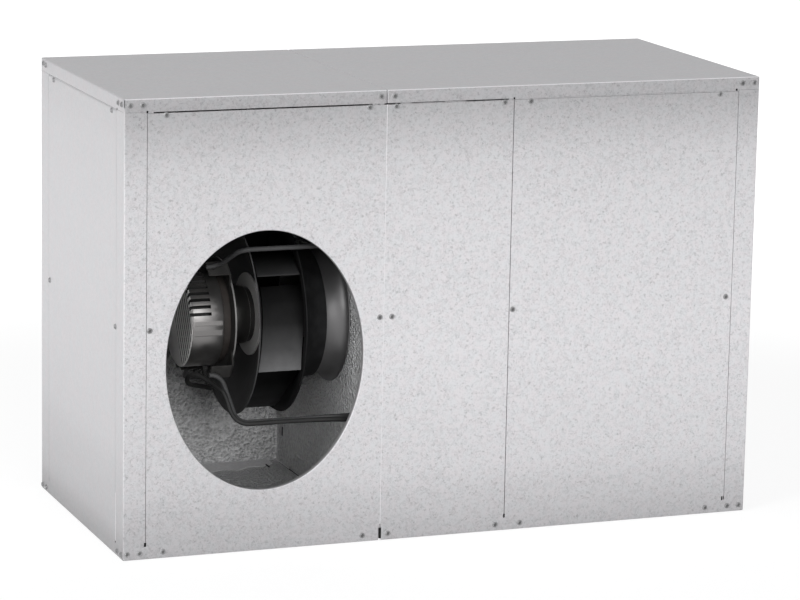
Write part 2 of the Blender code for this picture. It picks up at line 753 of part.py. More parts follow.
def fan_lead():
    """The motor lead: a loop under the motor, down past the wheel and forward to the partition."""
    gland_start = MOTOR_RADIUS + 2 * SEAT_GAP
    gland_end = gland_start + GLAND_LENGTH
    tube(
        "motor_lead_gland",
        [on_shaft(LEAD_START_X, reach, LEAD_START_ANGLE) for reach in (gland_start, gland_end)],
        GLAND_RADIUS,
        LEAD_BLACK,
    )
    tube(
        "partition_lead_gland",
        [WALL_GLAND, WALL_GLAND + Vector((GLAND_LENGTH, 0, 0))],
        GLAND_RADIUS,
        LEAD_BLACK,
    )
    bends = [
        on_shaft(LEAD_START_X, gland_end + SEAT_GAP, LEAD_START_ANGLE),
        on_shaft(LEAD_START_X, gland_end + 2 * LEAD_RADIUS, LEAD_START_ANGLE),
        (LEFT + 0.2163, -0.0400, 0.2311),
        (LEFT + 0.1983, -0.0520, 0.2358),
        (LEFT + 0.1821, -0.0640, 0.2413),
        (LEFT + 0.1672, -0.0750, 0.2472),
        (LEFT + 0.1599, -0.0840, 0.2557),
        (LEFT + 0.1608, -0.0920, 0.2646),
        (LEFT + 0.1670, -0.1000, 0.2694),
        (LEFT + 0.1764, -0.1090, 0.2668),
        (LEFT + 0.1840, -0.1180, 0.2620),
        (LEFT + 0.1908, -0.1295, 0.2572),
        (LEFT + 0.1962, -0.1400, 0.2521),
        (LEFT + 0.2010, -0.1495, 0.2490),
        (LEFT + 0.2054, -0.1572, 0.2375),
        (LEFT + 0.2096, -0.1665, 0.2189),
        (LEFT + 0.2165, -0.1752, 0.2065),
        (LEFT + 0.2280, -0.1790, 0.1998),
        (LEFT + 0.2450, -0.1790, 0.1978),
        (LEFT + 0.3000, -0.1790, 0.1978),
        (LEFT + 0.3450, -0.1797, 0.1974),
        (LEFT + 0.3800, -0.1820, 0.1967),
        WALL_GLAND - Vector((2 * GLAND_LENGTH, 0, 0)),
        WALL_GLAND - Vector((GLAND_LENGTH, 0, 0)),
        WALL_GLAND - Vector((SEAT_GAP, 0, 0)),
    ]
    tube("fan_lead", smooth_route(bends, 2.2 * LEAD_RADIUS), LEAD_RADIUS, LEAD_BLACK)


GALVANISED = material("galvanised_sheet", (0.70, 0.70, 0.70), 0.38, 0.85)
TOP_SHEET = material("cover_sheet", (0.44, 0.44, 0.45), 0.42, 0.85)
END_SHEET = material("end_sheet", (0.62, 0.62, 0.63), 0.42, 0.85)
LINING_FOAM = material("lining_foam", (0.105, 0.107, 0.112), 0.75, 0.0)
FAN_BLACK = material("fan_black", (0.022, 0.022, 0.024), 0.45, 0.0)
CAST_METAL = material("motor_casting", (0.16, 0.15, 0.15), 0.38, 0.6)
RING_METAL = material("ring_metal", (0.12, 0.12, 0.12), 0.33, 0.5)
LEAD_BLACK = material("lead_black", (0.012, 0.012, 0.012), 0.5, 0.0)

clear_scene()
base_and_covers()
corner_posts()
end_and_back_panels()
front_panels()
linings()
partition()
inlet_ring()
wheel()
motor()
support_plate()
support_rods()
fan_lead()
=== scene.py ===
"""Looks of the galvanised ducted indoor unit: materials, fine fan parts, screws, light and camera."""

import json
import random
from math import acos, cos, exp, log, pi, radians, sin, tan

import bmesh
import bpy
from mathutils import Matrix, Vector

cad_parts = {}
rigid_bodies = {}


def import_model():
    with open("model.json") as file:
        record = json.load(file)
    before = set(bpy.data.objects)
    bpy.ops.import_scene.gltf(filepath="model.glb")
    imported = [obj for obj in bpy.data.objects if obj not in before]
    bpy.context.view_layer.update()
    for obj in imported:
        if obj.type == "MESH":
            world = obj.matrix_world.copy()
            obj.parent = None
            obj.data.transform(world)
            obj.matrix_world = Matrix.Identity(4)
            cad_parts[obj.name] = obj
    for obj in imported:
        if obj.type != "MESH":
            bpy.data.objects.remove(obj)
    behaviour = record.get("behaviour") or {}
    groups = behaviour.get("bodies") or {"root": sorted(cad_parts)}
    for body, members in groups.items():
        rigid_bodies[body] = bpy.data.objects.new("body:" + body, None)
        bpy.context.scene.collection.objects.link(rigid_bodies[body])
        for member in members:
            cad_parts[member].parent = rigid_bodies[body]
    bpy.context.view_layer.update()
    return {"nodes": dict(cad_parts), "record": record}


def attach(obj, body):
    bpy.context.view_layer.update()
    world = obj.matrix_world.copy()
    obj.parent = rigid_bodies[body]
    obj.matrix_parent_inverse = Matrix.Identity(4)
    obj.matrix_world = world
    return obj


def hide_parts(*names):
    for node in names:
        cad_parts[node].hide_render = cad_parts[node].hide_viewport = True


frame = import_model()
NODES = frame["nodes"]

# Cabinet, in metres: X to the right along the front, Y to the back, Z up
LEFT, RIGHT, FRONT, BACK, TOP = -0.56, 0.56, -0.25, 0.25, 0.76
SHEET = 0.0015
GAP = 0.0003
LINING = 0.025
LINING_RIGHT = LEFT + 0.425
LINING_BACK = BACK - SHEET - LINING
LINING_FLOOR = SHEET + LINING
FLANGE = 0.022
COVER_GAP = 0.0020
WALL_TOP = TOP - FLANGE - COVER_GAP
POST_TOP = TOP - FLANGE - GAP
WALL_BOTTOM = FLANGE + GAP
POST_FACE = 0.038
FRONT_SIDE, REAR_SIDE = 0.042, 0.048
POST_GAP = 0.0008
MODULE_SEAM = LEFT + 0.4466
BASE_SLOT = 0.0034
JOINT_GAP = 0.0006
BEND = 0.0024
OUTLET_X, OUTLET_Z = LEFT + 0.242, 0.320
OUTLET_HALF = (0.1695, 0.2163)
OUTLET_COLLAR = 0.008
OUTLET_FOLD = 0.0022
LIP_OVERLAP = 0.0004

# Fan, with the CAD's sizes apart from the hub's neck
SHAFT_Y, SHAFT_Z = -0.028, 0.3515
SHAFT_POINT = Vector((0, SHAFT_Y, SHAFT_Z))
SHAFT_RADIUS, SHAFT_BORE = 0.009, 0.0094
CLEARANCE = 0.0055
WHEEL_RADIUS = 0.168
PLATE_X = LEFT + 0.2499
PLATE_THICK = 0.0022
DISH_DEPTH, DISH_RADIUS = 0.0365, 0.072
ROTOR_RADIUS, HUB_NECK_RADIUS = 0.049, 0.0462
HUB_DISC_RADIUS, HUB_DISC_THICK = 0.070, 0.003
HUB_STEP = 0.008
RIM_X = PLATE_X + 0.0825
COLLAR_X = RIM_X + 0.0546
COLLAR_RADIUS = 0.1115
COLLAR_STRAIGHT = 0.012
SHROUD_THICK = 0.002
SHROUD_COLLAR = COLLAR_RADIUS - SHROUD_THICK / 2
BLADES, BLADE_STEPS = 6, 32
BLADE_INNER, BLADE_OUTER = 0.088, 0.160
BLADE_ANGLE, BLADE_FIRST = radians(27), radians(34.5)
BLADE_THICK = 0.002
RING_THROAT = COLLAR_RADIUS - SHROUD_THICK - CLEARANCE
RING_THICK = 0.0018
RING_OVERLAP = 0.0136
RING_FLARE = 0.122

# Motor, its plate and rods, and the lead
SUPPORT_X = PLATE_X - 0.020
SUPPORT_THICK = 0.003
SUPPORT_RADIUS, SUPPORT_HOLE = 0.100, 0.020
SHAFT_END_X = SUPPORT_X - 0.028
MOTOR_X, MOTOR_END_X = SUPPORT_X - 0.0695, SUPPORT_X - 0.013
MOTOR_RADIUS, MOTOR_NECK_RADIUS = 0.083, 0.077
MOTOR_ROUNDING = 0.003
FINS, FIN_REACH = 43, radians(80)
FIN_SLOT, FIN_LENGTH, FIN_DEPTH = 0.0055, 0.034, 0.014
FLATS = ((radians(86.5), 0.0070), (radians(98.0), 0.0100))
FLAT_START, FLAT_END, FLAT_DEPTH = 0.005, 0.053, 0.0013
GROOVES, GROOVE_FIRST, GROOVE_PITCH = 8, -0.062, 0.0108
GROOVE_WIDTH, GROOVE_DEPTH, GROOVE_REACH = 0.0030, 0.0020, 0.0790
GROOVE_TURN = radians(-30)
STRAP_RADIUS = 0.1205
STRAP_SETBACK, STRAP_LENGTH, STRAP_WIDTH = 0.0067, 0.0370, 0.028
STRAP_BEND = 0.004
ARM_INNER = 0.088
ROD_RADIUS = 0.004
ROD_ANGLES = [radians(a) for a in (38, 128, 218, 308)]
ROD_LEAN = radians(9.3)
ROD_START_X = SUPPORT_X - 0.046
ROD_LEVEL, ROD_RISE = 0.020, 0.017
ROD_REACH, ROD_BEND = 0.2085, 0.022
LEAD_RADIUS = 0.004
LEAD_X, LEAD_ANGLE = LEFT + 0.207, radians(176)
GLAND_RADIUS, GLAND_LENGTH = 0.007, 0.008


def on_shaft(x, radius, from_top):
    """A point round the shaft, the angle measured from the top towards the front."""
    return Vector((x, SHAFT_Y - radius * sin(from_top), SHAFT_Z + radius * cos(from_top)))


def from_shaft(point):
    """How far a point lies from the shaft's line."""
    return (point - SHAFT_POINT).yz.length


# ---------------------------------------------------------------- materials


class Maker:
    """A material whose nodes are added by short calls."""

    def __init__(self, name):
        self.made = bpy.data.materials.new(name)
        self.made.use_nodes = True
        self.tree = self.made.node_tree
        self.shader = self.tree.nodes["Principled BSDF"]
        self.place = self.add("ShaderNodeTexCoord").outputs["Object"]

    def add(self, kind, **settings):
        node = self.tree.nodes.new(kind)
        for key, value in settings.items():
            setattr(node, key, value)
        return node

    def join(self, source, target):
        self.tree.links.new(source, target)

    def put(self, **values):
        for key, value in values.items():
            socket = self.shader.inputs[key.replace("_", " ")]
            if isinstance(value, bpy.types.NodeSocket):
                self.join(value, socket)
            else:
                socket.default_value = value

    def scaled(self, scale, place=None):
        node = self.add("ShaderNodeMapping")
        node.inputs["Scale"].default_value = scale
        self.join(place or self.place, node.inputs["Vector"])
        return node.outputs["Vector"]

    def noise(self, scale, detail=3.0, rough=0.5, place=None, distortion=0.0):
        node = self.add("ShaderNodeTexNoise")
        node.inputs["Scale"].default_value = scale
        node.inputs["Detail"].default_value = detail
        node.inputs["Roughness"].default_value = rough
        node.inputs["Distortion"].default_value = distortion
        self.join(place or self.place, node.inputs["Vector"])
        return node.outputs["Fac"]

    def cells(self, scale, feature="F1", output="Color", place=None, smooth=0.5):
        node = self.add("ShaderNodeTexVoronoi", feature=feature)
        node.inputs["Scale"].default_value = scale
        if feature == "SMOOTH_F1":
            node.inputs["Smoothness"].default_value = smooth
        self.join(place or self.place, node.inputs["Vector"])
        return node.outputs[output]

    def split(self, source):
        node = self.add("ShaderNodeSeparateXYZ")
        self.join(source, node.inputs[0])
        return node.outputs

    def math(self, operation, a, b=None, clamp=False):
        node = self.add("ShaderNodeMath", operation=operation, use_clamp=clamp)
        for socket, value in zip(node.inputs, (a, b)):
            if isinstance(value, bpy.types.NodeSocket):
                self.join(value, socket)
            elif value is not None:
                socket.default_value = value
        return node.outputs[0]

    def span(self, source, low, high, to_low, to_high, smooth=False):
        node = self.add("ShaderNodeMapRange")
        node.interpolation_type = "SMOOTHSTEP" if smooth else "LINEAR"
        for name, value in zip(("From Min", "From Max", "To Min", "To Max"), (low, high, to_low, to_high)):
            node.inputs[name].default_value = value
        self.join(source, node.inputs["Value"])
        return node.outputs["Result"]

    def ramp(self, source, stops):
        node = self.add("ShaderNodeValToRGB")
        elements = node.color_ramp.elements
        while len(elements) < len(stops):
            elements.new(0.5)
        for element, (place, colour) in zip(elements, stops):
            element.position = place
            element.color = (*colour, 1.0)
        self.join(source, node.inputs[0])
        return node.outputs["Color"]

    def mix(self, share, a, b, kind="MIX"):
        node = self.add("ShaderNodeMix", data_type="RGBA", blend_type=kind)
        for socket, value in ((node.inputs[0], share), (node.inputs[6], a), (node.inputs[7], b)):
            if isinstance(value, bpy.types.NodeSocket):
                self.join(value, socket)
            elif isinstance(value, tuple):
                socket.default_value = (*value, 1.0)
            else:
                socket.default_value = value
        return node.outputs[2]

    def bump(self, height, strength, distance):
        node = self.add("ShaderNodeBump")
        node.inputs["Strength"].default_value = strength
        node.inputs["Distance"].default_value = distance
        self.join(height, node.inputs["Height"])
        return node.outputs["Normal"]


def grey(level, tint=(1.0, 1.0, 1.0)):
    return tuple(level * share for share in tint)


# Painted shade on the sheets by height, darker towards the floor and towards the top edge: (height, share of the full
# tone)
FRONT_PAINTED_SHADE = (
    (0.0, 0.63), (0.011, 0.66), (0.032, 0.71), (0.053, 0.76), (0.075, 0.80), (0.096, 0.855),
    (0.117, 0.90), (0.16, 0.935), (0.24, 0.975), (0.33, 1.0), (0.45, 0.97), (0.50, 0.955),
    (0.553, 0.93), (0.594, 0.895), (0.635, 0.85), (0.655, 0.805), (0.676, 0.74), (0.696, 0.69),
    (0.716, 0.63), (0.7373, 0.585), (0.7377, 0.585), (0.76, 0.585),
)
END_PAINTED_SHADE = (
    (0.0, 0.52), (0.032, 0.65), (0.049, 0.755), (0.075, 0.81), (0.101, 0.84), (0.144, 0.89),
    (0.186, 0.955), (0.272, 0.99), (0.40, 0.995), (0.566, 0.975), (0.666, 0.94), (0.724, 0.89),
    (0.737, 0.88), (0.7377, 0.85), (0.76, 0.85),
)
# Painted shade: the front is a little darker at its left: from this X to that X, and the share at the left
LEFT_PAINTED_SHADE = (LEFT, 0.08, 0.925)
# Painted shade on a blade, darker towards the shaft: how bright it is by its reach from the shaft
BLADE_PAINTED_SHADE = ((0.088, 0.06), (0.125, 0.13), (0.145, 0.45), (0.160, 1.0))


def galvanised(name, level, contrast, cell=190.0, metallic=0.35, painted_height_shade=None, flecks=0.24):
    """Zinc-coated sheet: soft spangle of small crystals over a faint cloud, with painted shade by height and at the
    left.
    """
    m = Maker(name)
    warp = m.noise(90.0, 2.0)
    offset = m.add("ShaderNodeVectorMath", operation="SCALE")
    m.join(warp, offset.inputs[0])
    offset.inputs["Scale"].default_value = 0.004
    shifted = m.add("ShaderNodeVectorMath", operation="ADD")
    m.join(m.place, shifted.inputs[0])
    m.join(offset.outputs[0], shifted.inputs[1])
    crystal = m.split(m.cells(cell, place=shifted.outputs[0]))[0]
    small = m.split(m.cells(cell * 2.2, place=shifted.outputs[0]))[1]
    grain = m.noise(330.0, 3.0, 0.6)
    fleck = m.span(m.noise(250.0, 2.0, 0.5, distortion=0.6), 0.30, 0.42, 0.0, 1.0, True)
    cloud = m.noise(6.0, 3.0)
    total = m.math("MULTIPLY", crystal, 0.26)
    for source, share in ((small, 0.22), (grain, 0.30), (fleck, flecks), (cloud, 0.12)):
        total = m.math("ADD", total, m.math("MULTIPLY", source, share))
    low, high = level * (1 - contrast), level * (1 + contrast)
    cool, warm = (0.992, 0.990, 1.014), (1.012, 0.984, 1.008)
    hue = m.span(m.noise(60.0, 2.0), 0.4, 0.6, 0.0, 1.0)
    plain = m.ramp(total, [(0.25, grey(low)), (0.85, grey(high))])
    colour = m.mix(1.0, plain, m.mix(hue, cool, warm), "MULTIPLY")
    # Painted shade: darker towards the floor and the top edge, and a little darker at the left
    if painted_height_shade:
        height = m.span(m.split(m.place)[2], 0.0, TOP, 0.0, 1.0)
        painted_shade_tone = m.ramp(height, [(z / TOP, grey(share)) for z, share in painted_height_shade])
        colour = m.mix(1.0, colour, painted_shade_tone, "MULTIPLY")
        across = m.span(m.split(m.place)[0], *LEFT_PAINTED_SHADE, 1.0, True)
        colour = m.mix(1.0, colour, across, "MULTIPLY")
    m.put(
        Base_Color=colour,
        Roughness=m.span(total, 0.2, 0.9, 0.55, 0.42),
        Metallic=metallic,
        Normal=m.bump(total, 0.16, 0.0005),
    )
    return m.made


def lining():
    """Embossed dark facing: small soft dimples with a dull sheen, darker in the dimples as painted shade, and the
    partition's facing lighter than the rest as painted light.
    """
    m = Maker("lining_facing")
    dimple = m.cells(185.0, "SMOOTH_F1", "Distance", smooth=0.30)
    fine = m.noise(300.0, 3.0, 0.6)
    cloud = m.noise(9.0, 3.0)
    height = m.math("ADD", dimple, m.math("MULTIPLY", fine, 0.25))
    # Painted shade: the colour darkens in the dimples, over a random cloud
    level = m.math("ADD", m.math("MULTIPLY", height, 0.55), m.math("MULTIPLY", cloud, 0.35))
    stops = [(0.15, (0.21, 0.211, 0.212)), (0.50, (0.285, 0.286, 0.288)), (0.80, (0.35, 0.351, 0.353))]
    colour = m.ramp(level, stops)
    # Painted light: the partition's facing is lighter, the rest at 0.90 of it
    partition = m.span(m.split(m.place)[0], LINING_RIGHT - 0.003, LINING_RIGHT - 0.001, 0.90, 1.0)
    m.put(
        Base_Color=m.mix(1.0, colour, partition, "MULTIPLY"),
        Roughness=m.span(fine, 0.3, 0.7, 0.42, 0.6),
        Metallic=0.0,
        Normal=m.bump(height, 1.0, 0.007),
    )
    return m.made


def painted(name, colour, roughness, metallic=0.0, grain=0.25, specular=0.5, dust=0.6, painted_shade_by_reach=None):
    """Satin coating or casting with a slight orange peel and a film of dust, with painted shade by reach where given.
    """
    m = Maker(name)
    peel = m.noise(420.0, 3.0, 0.55)
    film = m.noise(38.0, 5.0, 0.6)
    light = tuple(min(1.0, c * (1 + dust) + 0.004 * dust) for c in colour)
    shade = m.ramp(film, [(0.36, colour), (0.78, light)])
    # Painted shade: darker by reach towards the shaft
    if painted_shade_by_reach:
        moved = m.add("ShaderNodeVectorMath", operation="SUBTRACT")
        m.join(m.place, moved.inputs[0])
        moved.inputs[1].default_value = SHAFT_POINT
        reach = m.add("ShaderNodeVectorMath", operation="LENGTH")
        m.join(m.scaled((0.0, 1.0, 1.0), moved.outputs[0]), reach.inputs[0])
        near, far = painted_shade_by_reach[0][0], painted_shade_by_reach[-1][0]
        stops = [((r - near) / (far - near), grey(share)) for r, share in painted_shade_by_reach]
        painted_shade_tone = m.ramp(m.span(reach.outputs["Value"], near, far, 0.0, 1.0), stops)
        shade = m.mix(1.0, shade, painted_shade_tone, "MULTIPLY")
    m.put(
        Base_Color=shade,
        Roughness=m.span(film, 0.3, 0.75, roughness - 0.05, roughness + 0.1),
        Metallic=metallic,
        Normal=m.bump(peel, grain, 0.0004),
        Specular_IOR_Level=specular,
    )
    return m.made


GALV = galvanised("galvanised_sheet", 0.63, 0.22, 230.0, painted_height_shade=FRONT_PAINTED_SHADE, flecks=0.34)
GALV_TOP = galvanised("cover_sheet", 0.58, 0.03)
GALV_END = galvanised("end_sheet", 0.70, 0.025, painted_height_shade=END_PAINTED_SHADE)
# Painted highlight: a lighter copy of the sheet for the covers' upper front and back folds and for thin lines along
# seams
GALV_PAINTED_HIGHLIGHT = galvanised("sheet_painted_highlight", 0.80, 0.05)
LINING = lining()
BLACK = painted("fan_black", (0.021, 0.021, 0.0215), 0.50, specular=0.16)
# Painted light and shade: the blades take a lighter copy of the fan's black, darker towards the shaft
BLADE = painted("blade_black_painted_light_and_shade", (0.050, 0.050, 0.051), 0.55, specular=0.08, dust=0.3, painted_shade_by_reach=BLADE_PAINTED_SHADE)
# Painted shade: the shroud takes a darker copy of the fan's black
SHROUD = painted("shroud_black_painted_shade", (0.004, 0.004, 0.0042), 0.55, specular=0.06)
RING = painted("ring_metal", (0.155, 0.153, 0.155), 0.44, 0.85, dust=0.12)
CAST = painted("motor_casting", (0.205, 0.199, 0.196), 0.33, 0.95, 0.4, dust=0.12)
# Painted light: the motor's end face takes a much lighter copy of the casting
MOTOR_END = painted("motor_end_painted_light", (0.62, 0.612, 0.605), 0.50, 0.2, 0.4, dust=0.1)
NECK = painted("motor_neck", (0.014, 0.012, 0.011), 0.50, 0.2, specular=0.2)
# Painted shade: the motor plate takes a near-black copy of the casting
PLATE = painted("plate_painted_shade", (0.020, 0.0195, 0.019), 0.45, 0.3, specular=0.3)
# Painted highlight: a lighter copy for the plate's rim and the hub drum's chamfer
RIM = painted("rim_painted_highlight", (0.16, 0.158, 0.156), 0.42, 0.6, dust=0.2)
DISC = painted("hub_disc", (0.34, 0.335, 0.330), 0.46, 0.4, dust=0.12)
DRUM = painted("hub_drum", (0.05, 0.049, 0.048), 0.38, 0.85, dust=0.2)
LEAD = painted("lead_black", (0.007, 0.007, 0.007), 0.48, specular=0.22)
SCREW = painted("screw_zinc", (0.27, 0.27, 0.274), 0.42, 0.5, 0.2)
# Painted shade: a darker copy of the zinc for the screw heads' dished tops
SCREW_RECESS_PAINTED_SHADE = painted("screw_recess_painted_shade", (0.11, 0.11, 0.11), 0.5, 0.3, 0.2)
# Near-black for the lining clips, and painted shade in the motor's slots and grooves, over the notches and the base
# slot, and along a lining joint
CLIP_DARK_AND_PAINTED_SHADE = painted("clips_and_painted_shade", (0.012, 0.012, 0.012), 0.8, specular=0.1)
# Painted shade: a darker copy of the sheet for the walls of the outlet's turned-in collar
OUTLET_COLLAR_PAINTED_SHADE = galvanised("outlet_collar_painted_shade", 0.34, 0.05)
# Pale lining strips and edges, also used for a painted glint along a lining joint
STRIP_AND_PAINTED_GLINT = galvanised("joint_strip_and_painted_glint", 0.40, 0.10)

SLOT_FINISH = {
    "galvanised_sheet": GALV,
    "cover_sheet": GALV_TOP,
    "end_sheet": GALV_END,
    "lining_foam": LINING,
    "fan_black": BLACK,
    "motor_casting": CAST,
    "ring_metal": RING,
    "lead_black": LEAD,
}

for part in frame["record"]["subparts"]:
    thing = NODES[part["node"]]
    thing.data.materials.clear()
    thing.data.materials.append(SLOT_FINISH[part["material_slot"]])


# ---------------------------------------------------------------- mesh helpers


INSIDE = []  # names of the pieces that the two inner lamps may light
LIT_BLADE = "blade_2"  # the blade that faces the opening at rest
SHEET_SLOTS = ("galvanised_sheet", "cover_sheet", "end_sheet")


def piece(name, shape, finish, body="cabinet", replaces=(), slot=None, sharp=32):
    """Turns a bmesh into a shown piece that rides on a body."""
    bmesh.ops.recalc_face_normals(shape, faces=shape.faces)
    mesh = bpy.data.meshes.new(name)
    shape.to_mesh(mesh)
    shape.free()
    thing = bpy.data.objects.new(name, mesh)
    bpy.context.scene.collection.objects.link(thing)
    for item in finish if isinstance(finish, list) else [finish]:
        mesh.materials.append(item)
    mesh.shade_smooth()
    mesh.set_sharp_from_angle(angle=radians(sharp))
    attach(thing, body)
    if replaces:
        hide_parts(*replaces)
    if slot:
        if slot not in SHEET_SLOTS:
            INSIDE.append(thing.name)
    return thing


def settle(thing):
    """Applies every modifier of a piece to its mesh."""
    graph = bpy.context.evaluated_depsgraph_get()
    mesh = bpy.data.meshes.new_from_object(thing.evaluated_get(graph), depsgraph=graph)
    thing.modifiers.clear()
    old = thing.data
    thing.data = mesh
    bpy.data.meshes.remove(old)
    return thing


def bevel(thing, width, segments=2, angle=30):
    """Rounds a piece's sharp edges."""
    step = thing.modifiers.new("edges", "BEVEL")
    step.width = width
    step.segments = segments
    step.limit_method = "ANGLE"
    step.angle_limit = radians(angle)
    step.harden_normals = False


def closed(ring):
    """The pairs of neighbours round a ring."""
    return zip(ring, ring[1:] + ring[:1])


def turned_shape(profile, steps=160):
    """Revolves a closed profile of (x, radius) points round the shaft."""
    shape = bmesh.new()
    ring = [shape.verts.new((x, 0.0, radius)) for x, radius in profile]
    edges = [shape.edges.new(pair) for pair in closed(ring) if max(vert.co.z for vert in pair) > 0]
    geom = ring + edges
    bmesh.ops.spin(shape, geom=geom, cent=(0, 0, 0), axis=(1, 0, 0), angle=2 * pi, steps=steps, use_merge=True)
    bmesh.ops.remove_doubles(shape, verts=shape.verts, dist=1e-6)
    bmesh.ops.translate(shape, vec=SHAFT_POINT, verts=shape.verts)
    return shape


def skin(shape, rings):
    """Faces between each ring of vertices and the next."""
    for ring, after in zip(rings, rings[1:]):
        for (a, b), (d, c) in zip(closed(ring), closed(after)):
            shape.faces.new((a, b, c, d))


def extruded(shape, outline, move):
    """Extrudes a flat outline into a solid and returns all its vertices."""
    grown = bmesh.ops.extrude_face_region(shape, geom=[shape.faces.new(outline)])
    moved = [item for item in grown["geom"] if isinstance(item, bmesh.types.BMVert)]
    bmesh.ops.translate(shape, vec=move, verts=moved)
    return outline + moved


def block(shape, low, high):
    """An upright box, given by its two corners; returns its vertices."""
    low, high = Vector(low), Vector(high)
    made = bmesh.ops.create_cube(shape, size=1.0)["verts"]
    bmesh.ops.scale(shape, vec=high - low, verts=made)
    bmesh.ops.translate(shape, vec=(low + high) / 2, verts=made)
    return made


def shell(points, thick):
    """A closed profile round a line of (x, radius) points, with rounded ends."""
    line = [Vector(point) for point in points]
    left, right = [], []
    for index, point in enumerate(line):
        along = (line[min(index + 1, len(line) - 1)] - line[max(index - 1, 0)]).normalized()
        across = Vector((-along.y, along.x)) * thick / 2
        left.append(tuple(point + across))
        right.append(tuple(point - across))
    start = (line[0] - line[1]).normalized() * thick * 0.25
    end = (line[-1] - line[-2]).normalized() * thick * 0.25
    return left + [tuple(line[-1] + end)] + right[::-1] + [tuple(line[0] + start)]


def quarter(start, end, steps, first_along_x):
    """A quarter of an ellipse between two (x, radius) points."""
    points = []
    for step in range(steps + 1):
        turn = pi / 2 * step / steps
        slow, fast = 1 - cos(turn), sin(turn)
        share_x, share_r = (fast, slow) if first_along_x else (slow, fast)
        points.append((start[0] + (end[0] - start[0]) * share_x, start[1] + (end[1] - start[1]) * share_r))
    return points


def tube_shape(points, radius, sides=20):
    """A round bar along a route, with flat ends."""
    shape = bmesh.new()
    line = [Vector(point) for point in points]
    turns = [2 * pi * side / sides for side in range(sides)]
    across = None
    rings = []
    for index, point in enumerate(line):
        along = (line[min(index + 1, len(line) - 1)] - line[max(index - 1, 0)]).normalized()
        if across is None:
            across = along.orthogonal().normalized()
        across = (across - along * across.dot(along)).normalized()
        other = along.cross(across)
        rings.append([shape.verts.new(point + radius * (cos(turn) * across + sin(turn) * other)) for turn in turns])
    skin(shape, rings)
    shape.faces.new(rings[0])
    shape.faces.new(rings[-1])
    return shape


def bars(angles, x_low, x_high, r_low, r_high, width):
    """Radial bars round the shaft."""
    shape = bmesh.new()
    for angle in angles:
        bar = block(shape, (x_low, -width / 2, r_low), (x_high, width / 2, r_high))
        bmesh.ops.rotate(shape, matrix=Matrix.Rotation(angle, 3, "X"), verts=bar)
        bmesh.ops.translate(shape, vec=SHAFT_POINT, verts=bar)
    return shape


def carve(thing, shape, operation="DIFFERENCE"):
    """Cuts or joins a shape with an exact Boolean and applies it."""
    bmesh.ops.recalc_face_normals(shape, faces=shape.faces)
    mesh = bpy.data.meshes.new("tool")
    shape.to_mesh(mesh)
    shape.free()
    tool = bpy.data.objects.new("tool", mesh)
    bpy.context.scene.collection.objects.link(tool)
    step = thing.modifiers.new("carve", "BOOLEAN")
    step.operation = operation
    step.solver = "EXACT"
    step.object = tool
    bpy.context.view_layer.update()
    settle(thing)
    bpy.data.objects.remove(tool)
    bpy.data.meshes.remove(mesh)


# ---------------------------------------------------------------- fan


def wheel():
    """The turning parts: hub, dished back plate, shroud and blades."""
    dish_x = PLATE_X + DISH_DEPTH
    disc_right = dish_x - PLATE_THICK / 2 - GAP
    disc_left = disc_right - HUB_DISC_THICK
    drum_left = SUPPORT_X + SUPPORT_THICK + CLEARANCE
    drum_right = disc_left - HUB_STEP
    soft, chamfer = 0.003, 0.0012
    hub = [
        (SHAFT_END_X, 0.0),
        (SHAFT_END_X, SHAFT_RADIUS),
        (drum_left, SHAFT_RADIUS),
        (drum_left, ROTOR_RADIUS - soft),
        (drum_left + soft / 3, ROTOR_RADIUS - soft / 3),
        (drum_left + soft, ROTOR_RADIUS),
        (drum_right - chamfer, ROTOR_RADIUS),
        (drum_right - chamfer / 3, ROTOR_RADIUS - chamfer / 3),
        (drum_right, ROTOR_RADIUS - chamfer),
        (drum_right, HUB_NECK_RADIUS),
        (disc_left, HUB_NECK_RADIUS),
        (disc_left, HUB_DISC_RADIUS - 0.0005),
        (disc_left + 0.0005, HUB_DISC_RADIUS),
        (disc_right, HUB_DISC_RADIUS),
        (disc_right, 0.0),
    ]
    shape = turned_shape(hub)
    for face in shape.faces:
        x = face.calc_center_median().x
        # Painted highlight: the drum's chamfer takes the lighter rim colour
        bright = drum_right - chamfer < x < drum_right - 0.0001
        face.material_index = 2 if bright else 1 if x > disc_left - 0.0001 else 0
    piece("hub", shape, [DRUM, DISC, RIM], "fan_wheel", ["wheel_hub"], "fan_black")
    dish = [(dish_x, 0.0), (dish_x, DISH_RADIUS - 0.004), (dish_x - 0.0006, DISH_RADIUS), (PLATE_X, WHEEL_RADIUS)]
    shape = turned_shape(shell(dish, PLATE_THICK))
    piece("back_plate", shape, BLACK, "fan_wheel", ["wheel_back_plate"], "fan_black")
    curve = quarter((RIM_X, WHEEL_RADIUS), (COLLAR_X - COLLAR_STRAIGHT, SHROUD_COLLAR), 20, False)
    shape = turned_shape(shell(curve + [(COLLAR_X, SHROUD_COLLAR)], SHROUD_THICK))
    piece("shroud", shape, SHROUD, "fan_wheel", ["wheel_shroud"], "fan_black")
    for index in range(BLADES):
        blade(index)


def blade_start(radius):
    """Where a blade begins at this radius, just off the dished back plate."""
    share = min(1.0, (WHEEL_RADIUS - radius) / (WHEEL_RADIUS - DISH_RADIUS))
    return PLATE_X + DISH_DEPTH * share + PLATE_THICK + GAP


def blade_reach(radius):
    """How far along the shaft a blade stands at this radius, just inside the shroud."""
    share = min(1.0, (WHEEL_RADIUS - radius - SHROUD_THICK) / (WHEEL_RADIUS - SHROUD_COLLAR))
    curve = (COLLAR_X - COLLAR_STRAIGHT - RIM_X) * (1 - (1 - share**2) ** 0.5)
    return min(RIM_X + curve - SHROUD_THICK - GAP, COLLAR_X - RING_OVERLAP - CLEARANCE)


